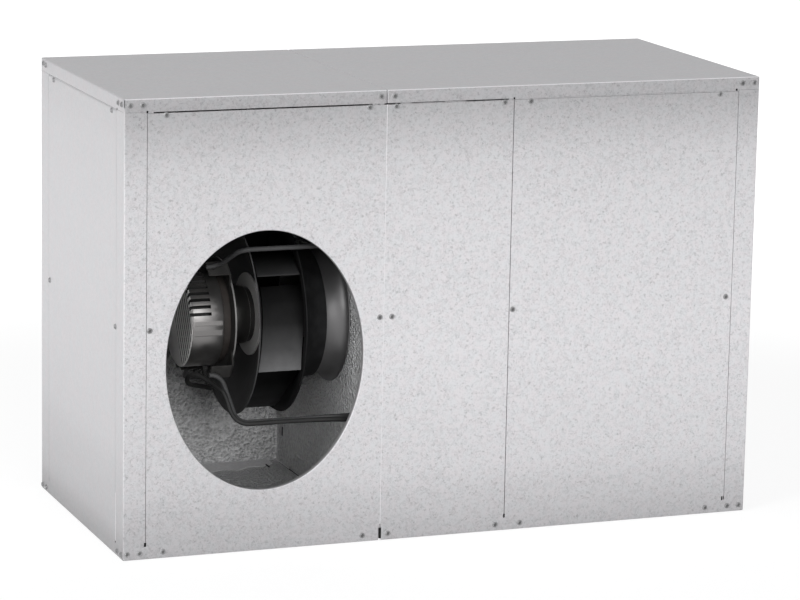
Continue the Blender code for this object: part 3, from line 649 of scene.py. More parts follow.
def blade(index):
    """A backward-curved blade: a spiral line extruded along the shaft, with a sheet's thickness."""
    first = BLADE_FIRST - index * 2 * pi / BLADES
    growth = tan(BLADE_ANGLE)
    wrap = log(BLADE_OUTER / BLADE_INNER) / growth
    shape = bmesh.new()
    line = []
    for step in range(BLADE_STEPS + 1):
        turn = wrap * step / BLADE_STEPS
        radius = BLADE_OUTER * exp(-growth * turn)
        line.append(shape.verts.new(on_shaft(blade_start(radius), radius, pi / 2 - (first + turn))))
    edges = [shape.edges.new(pair) for pair in zip(line, line[1:])]
    grown = bmesh.ops.extrude_edge_only(shape, edges=edges)
    for item in grown["geom"]:
        if isinstance(item, bmesh.types.BMVert):
            item.co.x = blade_reach(from_shaft(item.co))
    name = f"blade_{index + 1}"
    thing = piece(name, shape, BLADE, "fan_wheel", [f"wheel_{name}"], "fan_black")
    step = thing.modifiers.new("sheet", "SOLIDIFY")
    step.thickness = BLADE_THICK
    step.offset = 0.0
    bevel(thing, 0.0006, 2, 50)
    settle(thing)


def inlet_ring():
    """The bell-mouth: a straight throat that flares out to the partition."""
    throat = RING_THROAT - RING_THICK / 2
    line = [(COLLAR_X - RING_OVERLAP, throat)]
    line += quarter((COLLAR_X, throat), (LINING_RIGHT - GAP - RING_THICK / 2, RING_FLARE), 20, True)
    shape = turned_shape(shell(line, RING_THICK))
    piece("inlet_bell", shape, RING, "cabinet", ["inlet_ring"], "ring_metal")


def motor():
    """The motor: a drum with a comb of cooling slots, two flats along its side and a grooved end."""
    neck_right = SUPPORT_X - GAP
    bore_end = SHAFT_END_X - CLEARANCE
    soft = MOTOR_ROUNDING
    profile = [
        (MOTOR_X, 0.0),
        (MOTOR_X, MOTOR_RADIUS - soft),
        (MOTOR_X + soft * 0.3, MOTOR_RADIUS - soft * 0.3),
        (MOTOR_X + soft, MOTOR_RADIUS),
        (MOTOR_END_X - soft, MOTOR_RADIUS),
        (MOTOR_END_X - soft * 0.3, MOTOR_RADIUS - soft * 0.3),
        (MOTOR_END_X, MOTOR_RADIUS - soft),
        (MOTOR_END_X, MOTOR_NECK_RADIUS),
        (neck_right, MOTOR_NECK_RADIUS),
        (neck_right, SHAFT_BORE),
        (bore_end, SHAFT_BORE),
        (bore_end, 0.0),
    ]
    thing = piece("motor_case", turned_shape(profile, 172), CAST, "cabinet", ["motor_housing"], "motor_casting")
    pitch = 2 * pi / FINS
    upper = [index * pitch for index in range(FINS) if cos(index * pitch) > cos(FIN_REACH)]
    before, beyond = MOTOR_X - FIN_SLOT, MOTOR_RADIUS + FIN_SLOT
    carve(thing, bars(upper, before, MOTOR_X + FIN_LENGTH, MOTOR_RADIUS - FIN_DEPTH, beyond, FIN_SLOT))
    grooves = bmesh.new()
    for index in range(GROOVES):
        y = GROOVE_FIRST + index * GROOVE_PITCH
        z = (GROOVE_REACH**2 - y**2) ** 0.5
        low = (MOTOR_X - GROOVE_DEPTH, y - GROOVE_WIDTH / 2, -z)
        block(grooves, low, (MOTOR_X + GROOVE_DEPTH, y + GROOVE_WIDTH / 2, z))
    bmesh.ops.rotate(grooves, matrix=Matrix.Rotation(GROOVE_TURN, 3, "X"), verts=grooves.verts)
    bmesh.ops.translate(grooves, vec=SHAFT_POINT, verts=grooves.verts)
    carve(thing, grooves)
    for angle, width in FLATS:
        floor = MOTOR_RADIUS * cos(width / 2 / MOTOR_RADIUS) - FLAT_DEPTH
        carve(thing, bars([angle], MOTOR_X + FLAT_START, MOTOR_X + FLAT_END, floor, beyond, width))
    for item in (MOTOR_END, NECK, CLIP_DARK_AND_PAINTED_SHADE):
        thing.data.materials.append(item)
    verts = thing.data.vertices
    for face in thing.data.polygons:
        x = face.center.x
        deep = from_shaft(face.center) < MOTOR_RADIUS - 0.0030
        deep = deep or max(from_shaft(verts[v].co) for v in face.vertices) < MOTOR_RADIUS - 0.0031
        if x > MOTOR_END_X - 0.0001:
            face.material_index = 2
        # Painted light: the end face takes the lighter copy of the casting
        elif face.normal.x < -0.9 and x < MOTOR_X + 0.0005:
            face.material_index = 1
        # Painted shade: the slots' and grooves' walls and floors take near-black
        elif x < MOTOR_X + FIN_LENGTH + 0.0006 and deep:
            face.material_index = 3
    thing.data.shade_smooth()
    thing.data.set_sharp_from_angle(angle=radians(30))


def support_plate():
    """A round plate with four arms that lean back to slotted straps over the motor."""
    half = SUPPORT_THICK / 2
    left, right = SUPPORT_X, SUPPORT_X + SUPPORT_THICK
    edge = 0.0005
    profile = [
        (left, SUPPORT_HOLE),
        (left, SUPPORT_RADIUS - edge),
        (left + edge, SUPPORT_RADIUS),
        (right - edge, SUPPORT_RADIUS),
        (right, SUPPORT_RADIUS - edge),
        (right, SUPPORT_HOLE),
    ]
    thing = piece("motor_plate", turned_shape(profile, 172), PLATE, "cabinet", ["motor_support_plate"], "motor_casting")
    inner = Vector((left + half, ARM_INNER))
    outer = Vector((left + half - STRAP_SETBACK, STRAP_RADIUS + half))
    start = outer - (outer - inner).normalized() * STRAP_BEND
    end = outer - Vector((STRAP_BEND, 0))
    line = [tuple(inner)]
    for step in range(7):
        share = step / 6
        line.append(tuple((1 - share) ** 2 * start + 2 * share * (1 - share) * outer + share**2 * end))
    line.append((outer.x - STRAP_LENGTH, outer.y))
    arms = bmesh.new()
    for angle in ROD_ANGLES:
        outline = [arms.verts.new((x, -STRAP_WIDTH / 2, radius)) for x, radius in shell(line, SUPPORT_THICK)]
        arm = extruded(arms, outline, (0, STRAP_WIDTH, 0))
        bmesh.ops.rotate(arms, matrix=Matrix.Rotation(angle, 3, "X"), verts=arm)
        bmesh.ops.translate(arms, vec=SHAFT_POINT, verts=arm)
    carve(thing, arms, "UNION")
    slot_x = SUPPORT_X - 0.034
    carve(thing, bars(ROD_ANGLES, slot_x, slot_x + 0.0025, STRAP_RADIUS - 0.003, STRAP_RADIUS + 0.006, 0.007))
    # Painted highlight: the plate's rim takes the lighter rim colour
    thing.data.materials.append(RIM)
    for face in thing.data.polygons:
        on_rim = abs(from_shaft(face.center) - SUPPORT_RADIUS) < 0.0008
        if on_rim and abs(face.normal.x) < 0.9:
            face.material_index = 1


def rounded_route(corners, bend, steps=14):
    """A line through corners that are rounded to this bend."""
    points = [Vector(corners[0])]
    for before, corner, after in zip(corners, corners[1:], corners[2:]):
        corner = Vector(corner)
        back = (Vector(before) - corner).normalized()
        ahead = (Vector(after) - corner).normalized()
        half = acos(max(-1.0, min(1.0, back.dot(ahead)))) / 2
        reach = bend / tan(half)
        middle = corner + (back + ahead).normalized() * bend / sin(half)
        start = corner + back * reach - middle
        normal = start.cross(corner + ahead * reach - middle).normalized()
        for step in range(steps + 1):
            points.append(middle + Matrix.Rotation((pi - 2 * half) * step / steps, 3, normal) @ start)
    points.append(Vector(corners[-1]))
    return points


def rods():
    """Four bent rods that carry the motor's straps from the partition."""
    start = STRAP_RADIUS + SUPPORT_THICK + GAP + ROD_RADIUS
    rise_x = ROD_START_X + ROD_LEVEL
    for index, angle in enumerate(ROD_ANGLES):
        corners = (
            on_shaft(ROD_START_X, start, angle),
            on_shaft(rise_x, start, angle),
            on_shaft(rise_x + ROD_RISE, ROD_REACH, angle + ROD_LEAN),
            on_shaft(LINING_RIGHT - GAP, ROD_REACH, angle + ROD_LEAN),
        )
        name = f"rod_{index + 1}"
        shape = tube_shape(rounded_route(corners, ROD_BEND), ROD_RADIUS)
        piece(name, shape, BLACK, "cabinet", [f"support_{name}"], "fan_black", 50)


def smooth_route(points, spacing):
    """A smooth curve through all the points."""
    line = [Vector(point) for point in points]
    line = [2 * line[0] - line[1]] + line + [2 * line[-1] - line[-2]]
    route = [line[1]]
    for a, b, c, d in zip(line, line[1:], line[2:], line[3:]):
        square, cube = 2 * a - 5 * b + 4 * c - d, 3 * b - a - 3 * c + d
        steps = max(1, round((c - b).length / spacing))
        for step in range(1, steps + 1):
            t = step / steps
            route.append(0.5 * (2 * b + (c - a) * t + square * t**2 + cube * t**3))
    return route


def lead():
    """The motor's lead, from the gland under the motor to the gland in the partition."""
    gland_start = MOTOR_RADIUS + 2 * GAP
    gland_end = gland_start + GLAND_LENGTH
    wall = Vector((LINING_RIGHT - GAP - GLAND_LENGTH, -0.1850, 0.1960))
    bends = [
        on_shaft(LEAD_X, gland_end + GAP, LEAD_ANGLE),
        on_shaft(LEAD_X, gland_end + 2 * LEAD_RADIUS, LEAD_ANGLE),
        (LEFT + 0.2163, -0.0400, 0.2311),
        (LEFT + 0.1983, -0.0520, 0.2358),
        (LEFT + 0.1821, -0.0640, 0.2413),
        (LEFT + 0.1672, -0.0750, 0.2472),
        (LEFT + 0.1599, -0.0840, 0.2557),
        (LEFT + 0.1608, -0.0920, 0.2646),
        (LEFT + 0.1670, -0.1000, 0.2694),
        (LEFT + 0.1764, -0.1090, 0.2668),
        (LEFT + 0.1840, -0.1180, 0.2620),
        (LEFT + 0.1908, -0.1295, 0.2572),
        (LEFT + 0.1962, -0.1400, 0.2521),
        (LEFT + 0.2010, -0.1495, 0.2490),
        (LEFT + 0.2054, -0.1572, 0.2375),
        (LEFT + 0.2096, -0.1665, 0.2189),
        (LEFT + 0.2165, -0.1752, 0.2065),
        (LEFT + 0.2280, -0.1790, 0.1998),
        (LEFT + 0.2450, -0.1790, 0.1978),
        (LEFT + 0.3000, -0.1790, 0.1978),
        (LEFT + 0.3450, -0.1797, 0.1974),
        (LEFT + 0.3800, -0.1820, 0.1967),
        wall - Vector((4 * LEAD_RADIUS, 0, 0)),
        wall - Vector((2 * LEAD_RADIUS, 0, 0)),
        wall - Vector((GAP, 0, 0)),
    ]
    shape = tube_shape(smooth_route(bends, 0.003), LEAD_RADIUS, 16)
    piece("lead", shape, LEAD, "cabinet", ["fan_lead"], "lead_black", 60)
    top, bottom = (on_shaft(LEAD_X, radius, LEAD_ANGLE) for radius in (gland_start, gland_end))
    ends = (
        ("motor_gland", "motor_lead_gland", top, bottom),
        ("wall_gland", "partition_lead_gland", wall, wall + Vector((GLAND_LENGTH, 0, 0))),
    )
    for name, node, low, high in ends:
        piece(name, tube_shape((low, high), GLAND_RADIUS, 6), LEAD, "cabinet", [node], "lead_black", 30)


# ---------------------------------------------------------------- sheet pieces


SHEETS = [GALV, GALV_END, GALV_TOP, GALV_PAINTED_HIGHLIGHT]


def by_direction(shape):
    """Gives each face its place in SHEETS: spangle at front and back, then ends, then top, then a painted highlight on
    the covers' upper front and back folds.
    """
    shape.normal_update()
    for face in shape.faces:
        x, y, z = (abs(value) for value in face.normal)
        # Painted highlight on the upper front and back folds
        fold = face.normal.z > 0.25 and y > 0.25 and face.calc_center_median().z > TOP - BEND
        face.material_index = 3 if fold else 2 if z > max(x, y) else 1 if x > y else 0


def even(thing):
    """Keeps the flat faces flat in shade next to their rounded folds."""
    step = thing.modifiers.new("even", "WEIGHTED_NORMAL")
    step.keep_sharp = True
    step.weight = 100
    settle(thing)


def corner(bend, radius, steps):
    """A quarter circle of this radius about the point (bend, bend)."""
    turns = [pi / 2 * step / steps for step in range(steps + 1)]
    return [(bend - radius * cos(turn), bend - radius * sin(turn)) for turn in turns]


def folded_box(name, low, high, opening, node):
    """A tray or cover with rounded folds: a box without its upper (1) or lower (-1) face."""
    shape = bmesh.new()
    block(shape, low, high)
    shape.normal_update()
    gone = max(shape.faces, key=lambda face: face.normal.z * opening)
    bmesh.ops.delete(shape, geom=[gone], context="FACES_ONLY")
    folds = [edge for edge in shape.edges if len(edge.link_faces) == 2]
    bmesh.ops.bevel(
        shape,
        geom=folds,
        offset=BEND,
        offset_type="OFFSET",
        segments=4,
        profile=0.5,
        affect="EDGES",
        material=-1,
    )
    slot = "galvanised_sheet" if opening > 0 else "cover_sheet"
    thing = piece(name, shape, SHEETS, "cabinet", [node], slot, 40)
    step = thing.modifiers.new("sheet", "SOLIDIFY")
    step.thickness = SHEET
    step.offset = -1.0
    step.use_even_offset = True
    settle(thing)
    redo = bmesh.new()
    redo.from_mesh(thing.data)
    by_direction(redo)
    redo.to_mesh(thing.data)
    redo.free()
    return thing


def post(name, x, to_x, y, to_y, side):
    """A corner post: an L-shaped sheet with a rounded fold."""
    outer = [(0.0, side)] + corner(BEND, BEND, 6) + [(POST_FACE, 0.0)]
    inner = [(POST_FACE, SHEET)] + corner(BEND, BEND - SHEET, 6)[::-1] + [(SHEET, side)]
    shape = bmesh.new()
    outline = [shape.verts.new((x + to_x * u, y + to_y * v, WALL_BOTTOM)) for u, v in outer + inner]
    extruded(shape, outline, (0, 0, POST_TOP - WALL_BOTTOM))
    bmesh.ops.recalc_face_normals(shape, faces=shape.faces)
    by_direction(shape)
    even(piece(name, shape, SHEETS, "cabinet", [name + "_post"], "galvanised_sheet", 40))


def outlet_panel():
    """The left access panel, with the oval opening's edge turned in over a rounded fold."""
    steps, lip = 192, 0.0004
    half_x, half_z = OUTLET_HALF
    section = [(v, u) for u, v in corner(OUTLET_FOLD, OUTLET_FOLD, 5)]
    section += [(0.0, OUTLET_COLLAR - lip), (lip, OUTLET_COLLAR)]
    section += [(SHEET - lip, OUTLET_COLLAR), (SHEET, OUTLET_COLLAR - lip)]
    section += [(v, u) for u, v in corner(OUTLET_FOLD, OUTLET_FOLD - SHEET, 5)[::-1]]
    shape = bmesh.new()
    rings = []
    for offset, depth in section:
        ring = []
        for step in range(steps):
            turn = 2 * pi * step / steps
            out = Vector((cos(turn) / half_x, sin(turn) / half_z)).normalized() * offset
            x, z = OUTLET_X + half_x * cos(turn) + out.x, OUTLET_Z + half_z * sin(turn) + out.y
            ring.append(shape.verts.new((x, FRONT + depth, z)))
        rings.append(ring)
    skin(shape, rings)
    low, high = LEFT + POST_FACE + POST_GAP, MODULE_SEAM - GAP / 2
    wide, tall = 0.0011, WALL_BOTTOM + 0.0062
    notch = ((wide, WALL_BOTTOM), (wide, tall), (0.0, tall), (0.0, WALL_TOP))
    around = [(low + u, z) for u, z in notch] + [(high - u, z) for u, z in notch[::-1]]
    borders = []
    for depth, ring in ((0.0, rings[0]), (SHEET, rings[-1])):
        border = [shape.verts.new((x, FRONT + depth, z)) for x, z in around]
        edges = [shape.edges.new(pair) for pair in closed(border)]
        edges += [shape.edges.get(pair) for pair in closed(ring)]
        bmesh.ops.triangle_fill(shape, use_beauty=True, edges=edges)
        borders.append(border)
    for (a, b), (d, c) in zip(closed(borders[0]), closed(borders[1])):
        shape.faces.new((a, b, c, d))
    shape.normal_update()
    # Painted shade: the turned-in collar's walls take the darker copy
    for face in shape.faces:
        turned_in = face.calc_center_median().y > FRONT + 0.0005 and abs(face.normal.y) < 0.9
        face.material_index = 1 if turned_in else 0
    even(piece("outlet_panel", shape, [GALV, OUTLET_COLLAR_PAINTED_SHADE], "cabinet", ["left_access_panel"], "galvanised_sheet", 40))


# The panels' upper edges: (start, end, share of the gap under the cover that the edge fills)
GAP_LIPS = (
    (0.0384, 0.0490, 1.0), (0.0490, 0.4207, 0.0), (0.4207, 0.4249, 1.0), (0.4249, 0.4338, 0.15),
    (0.4338, 0.4411, 1.0), (0.4411, 0.4693, 0.0), (0.4693, 0.4888, 0.75), (0.4888, 0.5475, 0.40),
    (0.5475, 0.5848, 0.62), (0.5848, 0.6605, 0.12), (0.6605, 1.0822, 0.92),
)
LIP_STEP, LIP_WAVE, LIP_LIFT = 0.006, 0.00016, 0.00001


def lips():
    """The panels' upper edges, which nearly touch the covers in places, and the ends' own edge."""
    random.seed(9)
    base = WALL_TOP - LIP_OVERLAP
    for name, y, inward in (("lip_front", FRONT, SHEET), ("lip_back", BACK, -SHEET)):
        shape = bmesh.new()
        for start, end, share in GAP_LIPS:
            steps = max(1, round((end - start) / LIP_STEP))
            line = []
            for step in range(steps + 1):
                wave = LIP_WAVE * random.uniform(-1, 1) if share < 1 else 0.0
                height = max(0.0, min(COVER_GAP - 0.00005, COVER_GAP * share + wave))
                line.append((LEFT + start + (end - start) * step / steps, WALL_TOP + height + LIP_LIFT))
            for (x, z), (next_x, next_z) in zip(line, line[1:]):
                corners = ((x, base), (next_x, base), (next_x, next_z), (x, z))
                extruded(shape, [shape.verts.new((u, y, v)) for u, v in corners], (0, inward, 0))
        piece(name, shape, GALV, "cabinet")
    for name, x, inward in (("lip_left", LEFT, SHEET), ("lip_right", RIGHT, -SHEET)):
        near, far = sorted((x, x + inward))
        shape = bmesh.new()
        low = (near, FRONT + FRONT_SIDE - 0.001, base)
        block(shape, low, (far, BACK - REAR_SIDE + 0.001, WALL_TOP + 0.0015))
        piece(name, shape, GALV_END, "cabinet")


# Painted shade: dark plates over the notches at the ends of the seams: (from the left end, height, half width, half
# height)
FRONT_NOTCHES = (
    (0.0384, 0.7384, 0.0015, 0.0018), (0.6705, 0.7382, 0.0014, 0.0016), (1.0772, 0.7386, 0.0015, 0.0018),
    (0.0376, 0.0250, 0.0016, 0.0034), (0.6700, 0.0231, 0.0011, 0.0012), (1.0778, 0.0250, 0.0012, 0.0034),
)
END_NOTCHES = ((0.0400, 0.7390), (0.0425, 0.0225))
NOTCH_WIDE, NOTCH_TALL = 0.0014, 0.0016
PAINTED_MARK_THICK = 0.00012


def seam_painted_marks():
    """Painted highlights as bright plates along the module seam and the ends' front joint, and painted shade as dark
    plates over each notch where folds meet and over the base slot.
    """
    bright, dark = bmesh.new(), bmesh.new()
    seam, slot, slot_low, slot_high = 0.0004, BASE_SLOT / 2, 0.0034, 0.0215
    for y, out in ((FRONT, -PAINTED_MARK_THICK), (BACK, PAINTED_MARK_THICK)):
        low, high = sorted((y, y + out))
        # Painted highlights along the module seam and at the foot of the base slot, painted shade over the slot above
        block(bright, (MODULE_SEAM - seam, low, WALL_BOTTOM), (MODULE_SEAM + seam, high, WALL_TOP))
        block(bright, (MODULE_SEAM - slot, low, 0.0), (MODULE_SEAM + slot, high, slot_low))
        block(dark, (MODULE_SEAM - slot, low, slot_low), (MODULE_SEAM + slot, high, slot_high))
        low, high = low - PAINTED_MARK_THICK, high + PAINTED_MARK_THICK
        for x, z, wide, tall in FRONT_NOTCHES:
            block(dark, (LEFT + x - wide, low, z - tall), (LEFT + x + wide, high, z + tall))
    for x, out in ((LEFT, -PAINTED_MARK_THICK), (RIGHT, PAINTED_MARK_THICK)):
        low, high = sorted((x, x + out))
        # Painted highlight along the ends' front joint
        block(bright, (low, FRONT + 0.0415, 0.0226), (high, FRONT + 0.0432, 0.105))
        low, high = low - PAINTED_MARK_THICK, high + PAINTED_MARK_THICK
        for y, z in END_NOTCHES:
            near, far = FRONT + y - NOTCH_WIDE, FRONT + y + NOTCH_WIDE
            block(dark, (low, near, z - NOTCH_TALL), (high, far, z + NOTCH_TALL))
    piece("seam_painted_highlights", bright, GALV_PAINTED_HIGHLIGHT, "cabinet")
    piece("notches_painted_shade", dark, CLIP_DARK_AND_PAINTED_SHADE, "cabinet")


# The sealing strip's uneven front edge on the floor: (x, y)
SEAL_LINE = (
    (-0.30, 0.150), (-0.272, 0.168), (-0.250, 0.176), (-0.223, 0.166), (-0.200, 0.182),
    (-0.176, 0.178), (-0.152, 0.196),
)


def lining_joints():
    """Folded edges, clips and sealing strip where the lining sheets meet, as they show through the opening, with a
    painted glint and a painted shadow line along the partition's joint with the floor.
    """
    pale, dark = bmesh.new(), bmesh.new()
    x, y, z = LINING_RIGHT, LINING_BACK, LINING_FLOOR
    face = x - 0.0001
    edge_top = 0.105
    block(pale, (x - 0.0009, y - 0.0009, z), (face, y - 0.0001, edge_top))
    block(pale, (x - 0.0006, y - 0.0086, z), (face, y - 0.0078, edge_top))
    ridge = [(u, y - 0.0002) for u, _ in SEAL_LINE]
    section = ((SEAL_LINE, 0.0001), (SEAL_LINE, 0.0009), (ridge, 0.0022), (ridge, 0.0001))
    rows = [[pale.verts.new((u, v, z + lift)) for u, v in line] for line, lift in section]
    for row, above in closed(rows):
        for a, b, c, d in zip(row, row[1:], above[1:], above):
            pale.faces.new((a, b, c, d))
    for end in (0, -1):
        pale.faces.new([row[end] for row in rows])
    # Painted glint along the partition's joint with the floor
    block(pale, (x - 0.0016, 0.151, z), (face, 0.2217, z + 0.0012))
    # Painted shade: a dark line along the same joint
    block(dark, (x - 0.0020, 0.097, z), (face, 0.2013, z + 0.0004))
    block(dark, (x - 0.0008, 0.1895, 0.0782), (face, 0.1935, 0.0935))
    block(dark, (x - 0.0320, 0.172, z), (x - 0.0290, 0.192, z + 0.0012))
    piece("joint_strips_and_painted_glint", pale, STRIP_AND_PAINTED_GLINT, "cabinet")
    piece("joint_clips_and_painted_shade", dark, CLIP_DARK_AND_PAINTED_SHADE, "cabinet")
    INSIDE.extend(("joint_strips_and_painted_glint", "joint_clips_and_painted_shade"))


SLIT_HALF = Vector((0.0012, 0.0045, 0.0066))
SLIT_HEIGHT = 0.7520


def sheet_pieces():
    """Trays, covers with slit corners, posts and the outlet panel, with the panels' upper edges, painted highlights and
    shade along the seams, and the lining's joints with their painted glint and shade.
    """
    slot, split = BASE_SLOT / 2, JOINT_GAP / 2
    seat = WALL_BOTTOM - 0.00005
    skirt = TOP - FLANGE
    trays = [
        folded_box("fan_tray", (LEFT, FRONT, 0.0), (MODULE_SEAM - slot, BACK, seat), 1, "fan_base_tray"),
        folded_box("coil_tray", (MODULE_SEAM + slot, FRONT, 0.0), (RIGHT, BACK, seat), 1, "coil_base_tray"),
    ]
    covers = (
        (folded_box("fan_cover", (LEFT, FRONT, skirt), (MODULE_SEAM - split, BACK, TOP), -1, "fan_top_cover"), LEFT),
        (folded_box("coil_cover", (MODULE_SEAM + split, FRONT, skirt), (RIGHT, BACK, TOP), -1, "coil_top_cover"), RIGHT),
    )
    for thing, x in covers:
        slits = bmesh.new()
        for y in (FRONT, BACK):
            turn = pi / 4 if (x < 0) == (y > 0) else -pi / 4
            bar = block(slits, -SLIT_HALF, SLIT_HALF)
            bmesh.ops.rotate(slits, matrix=Matrix.Rotation(turn, 3, "Z"), verts=bar)
            bmesh.ops.translate(slits, vec=(x, y, SLIT_HEIGHT), verts=bar)
        carve(thing, slits)
        even(thing)
    for thing in trays:
        even(thing)
    post("left_front", LEFT, 1, FRONT, 1, FRONT_SIDE)
    post("right_front", RIGHT, -1, FRONT, 1, FRONT_SIDE)
    post("left_rear", LEFT, 1, BACK, -1, REAR_SIDE)
    post("right_rear", RIGHT, -1, BACK, -1, REAR_SIDE)
    outlet_panel()
    lips()
    seam_painted_marks()
    lining_joints()


# ---------------------------------------------------------------- screws


# A head's rings from its seat outwards: (height, radius, whether the ring is a hexagon)
SCREW_RINGS = (
    (0.0000, 0.0047, False),
    (0.0004, 0.0048, False),
    (0.0009, 0.0042, False),
    (0.0010, 0.0036, True),
    (0.0021, 0.0036, True),
    (0.0025, 0.0032, True),
    (0.0017, 0.0024, False),
)
SCREW_SIDES = 24


def screw(shape, place, outward, turn):
    """A washer-faced hexagon screw head with a shallow dished top, the dish darker as painted shade."""
    outward = Vector(outward)
    frame_x = outward.orthogonal().normalized()
    frame_y = outward.cross(frame_x)
    rings = []
    for height, radius, hexagon in SCREW_RINGS:
        ring = []
        for step in range(SCREW_SIDES):
            local = 2 * pi * step / SCREW_SIDES
            reach = radius * cos(pi / 6) / cos(local % (pi / 3) - pi / 6) if hexagon else radius
            angle = turn + local
            point = Vector(place) + outward * height + reach * (cos(angle) * frame_x + sin(angle) * frame_y)
            ring.append(shape.verts.new(point))
        rings.append(ring)
    skin(shape, rings)
    shape.faces.new(rings[0])
    shape.faces.new(rings[-1]).material_index = 1


# From the left end, and height
FRONT_SCREWS = [(x, 0.3816) for x in (0.0439, 0.4398, 0.4609, 0.6766, 1.0708)]
FRONT_SCREWS += [(x, 0.011) for x in (0.0069, 0.0282, 0.0681, 0.4151, 0.4604)]
FRONT_SCREWS += [(x, 0.011) for x in (0.6541, 0.6992, 1.0458, 1.0881, 1.1097)]
FRONT_SCREWS += [(x, 0.7323) for x in (0.0701, 0.4162, 0.4622, 0.6538, 0.7003, 1.0466)]
FRONT_SCREWS += [(x, 0.7495) for x in (0.0100, 0.0310, 0.4359, 0.4594, 1.0880, 1.1100)]
# From the front, and height
END_SCREWS = (
    (0.0322, 0.7500), (0.0125, 0.7500), (0.0689, 0.7325), (0.4844, 0.7520), (0.4690, 0.7505), (0.4179, 0.7325),
    (0.4444, 0.3817), (0.0454, 0.3821), (0.4916, 0.0080), (0.4685, 0.0085), (0.0330, 0.0090), (0.0099, 0.0090),
)


def screws():
    """The screw heads of each side, one piece a side."""
    random.seed(4)
    faces = (
        ("screws_front", (0, -1, 0), [(LEFT + x, FRONT, z) for x, z in FRONT_SCREWS]),
        ("screws_back", (0, 1, 0), [(LEFT + x, BACK, z) for x, z in FRONT_SCREWS]),
        ("screws_left", (-1, 0, 0), [(LEFT, FRONT + y, z) for y, z in END_SCREWS]),
        ("screws_right", (1, 0, 0), [(RIGHT, FRONT + y, z) for y, z in END_SCREWS]),
    )
    for name, outward, places in faces:
        shape = bmesh.new()
        for place in places:
            screw(shape, place, outward, random.uniform(0, pi / 3))
        piece(name, shape, [SCREW, SCREW_RECESS_PAINTED_SHADE], "cabinet")


wheel()
inlet_ring()
motor()
support_plate()
rods()
lead()
sheet_pieces()
screws()


# ---------------------------------------------------------------- stage, light, camera


FLOOR_HALF, FLOOR_DROP = 30.0, 0.0008
# The floor takes the object's shadow near it and turns to plain white further out
FADE = (("From Min", 1.2), ("From Max", 3.0), ("To Min", 0.7), ("To Max", 1.0))
AIM, CHAMBER_AIM = (0, 0, 0.35), (-0.2, 0, 0.3)


def stage_set():
    """A pale floor that the camera and reflections see as white away from the object."""
    floor = bmesh.new()
    bmesh.ops.create_grid(floor, x_segments=2, y_segments=2, size=FLOOR_HALF)
    bmesh.ops.translate(floor, vec=(0, 0, -FLOOR_DROP), verts=floor.verts)
    mesh = bpy.data.meshes.new("floor")
    floor.to_mesh(mesh)
    floor.free()
    thing = bpy.data.objects.new("floor", mesh)
    bpy.context.scene.collection.objects.link(thing)
    made = bpy.data.materials.new("pale_floor")
    made.use_nodes = True
    tree = made.node_tree
    tree.nodes.clear()
    out = tree.nodes.new("ShaderNodeOutputMaterial")
    mixed = tree.nodes.new("ShaderNodeMixShader")
    matt = tree.nodes.new("ShaderNodeBsdfDiffuse")
    matt.inputs["Color"].default_value = (0.86, 0.86, 0.86, 1)
    glow = tree.nodes.new("ShaderNodeEmission")
    path = tree.nodes.new("ShaderNodeLightPath")
    seen = tree.nodes.new("ShaderNodeMath")
    seen.operation = "MAXIMUM"
    glow.inputs["Strength"].default_value = 1.2
    place = tree.nodes.new("ShaderNodeTexCoord")
    far = tree.nodes.new("ShaderNodeVectorMath")
    far.operation = "LENGTH"
    tree.links.new(place.outputs["Object"], far.inputs[0])
    fade = tree.nodes.new("ShaderNodeMapRange")
    fade.interpolation_type = "SMOOTHSTEP"
    for name, value in FADE:
        fade.inputs[name].default_value = value
    tree.links.new(far.outputs["Value"], fade.inputs["Value"])
    share = tree.nodes.new("ShaderNodeMath")
    share.operation = "MULTIPLY"
    tree.links.new(fade.outputs["Result"], share.inputs[1])
    tree.links.new(path.outputs["Is Camera Ray"], seen.inputs[0])
    tree.links.new(path.outputs["Is Glossy Ray"], seen.inputs[1])
    tree.links.new(seen.outputs[0], share.inputs[0])
    tree.links.new(share.outputs[0], mixed.inputs[0])
    tree.links.new(matt.outputs[0], mixed.inputs[1])
    tree.links.new(glow.outputs[0], mixed.inputs[2])
    tree.links.new(mixed.outputs[0], out.inputs["Surface"])
    mesh.materials.append(made)


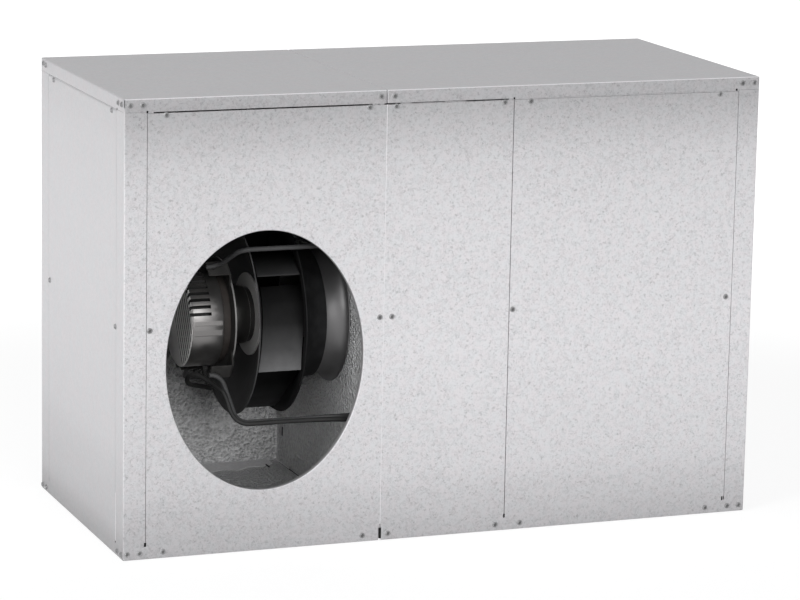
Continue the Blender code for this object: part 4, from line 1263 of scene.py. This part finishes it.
def world():
    """A soft cool studio light that looks white to the camera, in reflections and through glass."""
    made = bpy.data.worlds.new("studio")
    bpy.context.scene.world = made
    made.use_nodes = True
    tree = made.node_tree
    tree.nodes.clear()
    out = tree.nodes.new("ShaderNodeOutputWorld")
    path = tree.nodes.new("ShaderNodeLightPath")
    seen = tree.nodes.new("ShaderNodeMath")
    seen.operation = "MAXIMUM"
    both = tree.nodes.new("ShaderNodeMath")
    both.operation = "MAXIMUM"
    tree.links.new(path.outputs["Is Camera Ray"], seen.inputs[0])
    tree.links.new(path.outputs["Is Glossy Ray"], seen.inputs[1])
    tree.links.new(seen.outputs[0], both.inputs[0])
    tree.links.new(path.outputs["Is Transmission Ray"], both.inputs[1])
    white = tree.nodes.new("ShaderNodeBackground")
    soft = tree.nodes.new("ShaderNodeBackground")
    soft.inputs["Color"].default_value = (0.97, 0.985, 1.0, 1)
    soft.inputs["Strength"].default_value = 0.30
    mixed = tree.nodes.new("ShaderNodeMixShader")
    tree.links.new(both.outputs[0], mixed.inputs[0])
    tree.links.new(soft.outputs[0], mixed.inputs[1])
    tree.links.new(white.outputs[0], mixed.inputs[2])
    tree.links.new(mixed.outputs[0], out.inputs["Surface"])


def lamp(name, place, aim, size, power):
    """A round area lamp that points at its aim."""
    data = bpy.data.lights.new(name, "AREA")
    data.shape = "DISK"
    data.size = size
    data.energy = power
    thing = bpy.data.objects.new(name, data)
    thing.location = place
    thing.rotation_mode = "QUATERNION"
    thing.rotation_quaternion = (Vector(aim) - Vector(place)).to_track_quat("-Z", "Y")
    bpy.context.scene.collection.objects.link(thing)
    return thing


def camera():
    """The photograph's viewing angle, from a fit to the cabinet's corners."""
    data = bpy.data.cameras.new("camera")
    data.sensor_width = 36.0
    data.lens = 164.2945
    data.clip_end = 200.0
    thing = bpy.data.objects.new("camera", data)
    right = Vector((0.9352305, -0.3535542, 0.0185269))
    up = Vector((0.0542484, 0.1948185, 0.9793380))
    ahead = Vector((0.3498584, 0.9149017, -0.2013800))
    turn = Matrix((right, up, -ahead)).transposed()
    thing.matrix_world = Matrix.Translation((-2.195078, -5.767621, 1.623171)) @ turn.to_4x4()
    bpy.context.scene.collection.objects.link(thing)
    bpy.context.scene.camera = thing


camera()
stage_set()
world()
lamp("key", (-0.5, -8.5, 3.0), AIM, 4.5, 230)
lamp("side", (-8.0, -4.0, 3.0), AIM, 4.5, 460)
rear = lamp("rear", (3.0, 8.0, 1.4), AIM, 4.0, 200)
rear.visible_glossy = False
inner = lamp("inner", (-0.6, -5.1, 1.7), CHAMBER_AIM, 2.4, 340)
inner_left = lamp("inner_left", (-3.4, -4.8, 1.7), CHAMBER_AIM, 2.4, 150)
inside = bpy.data.collections.new("inside")
for thing in list(bpy.context.scene.collection.all_objects):
    lit = thing.name.endswith("lining") or thing.name in INSIDE
    other_blade = thing.name.startswith("blade_") and thing.name != LIT_BLADE
    if thing.type == "MESH" and lit and not other_blade:
        inside.objects.link(thing)
for thing in (inner, inner_left):
    thing.light_linking.receiver_collection = inside
    thing.visible_glossy = False
bpy.context.scene.view_settings.view_transform = "Standard"
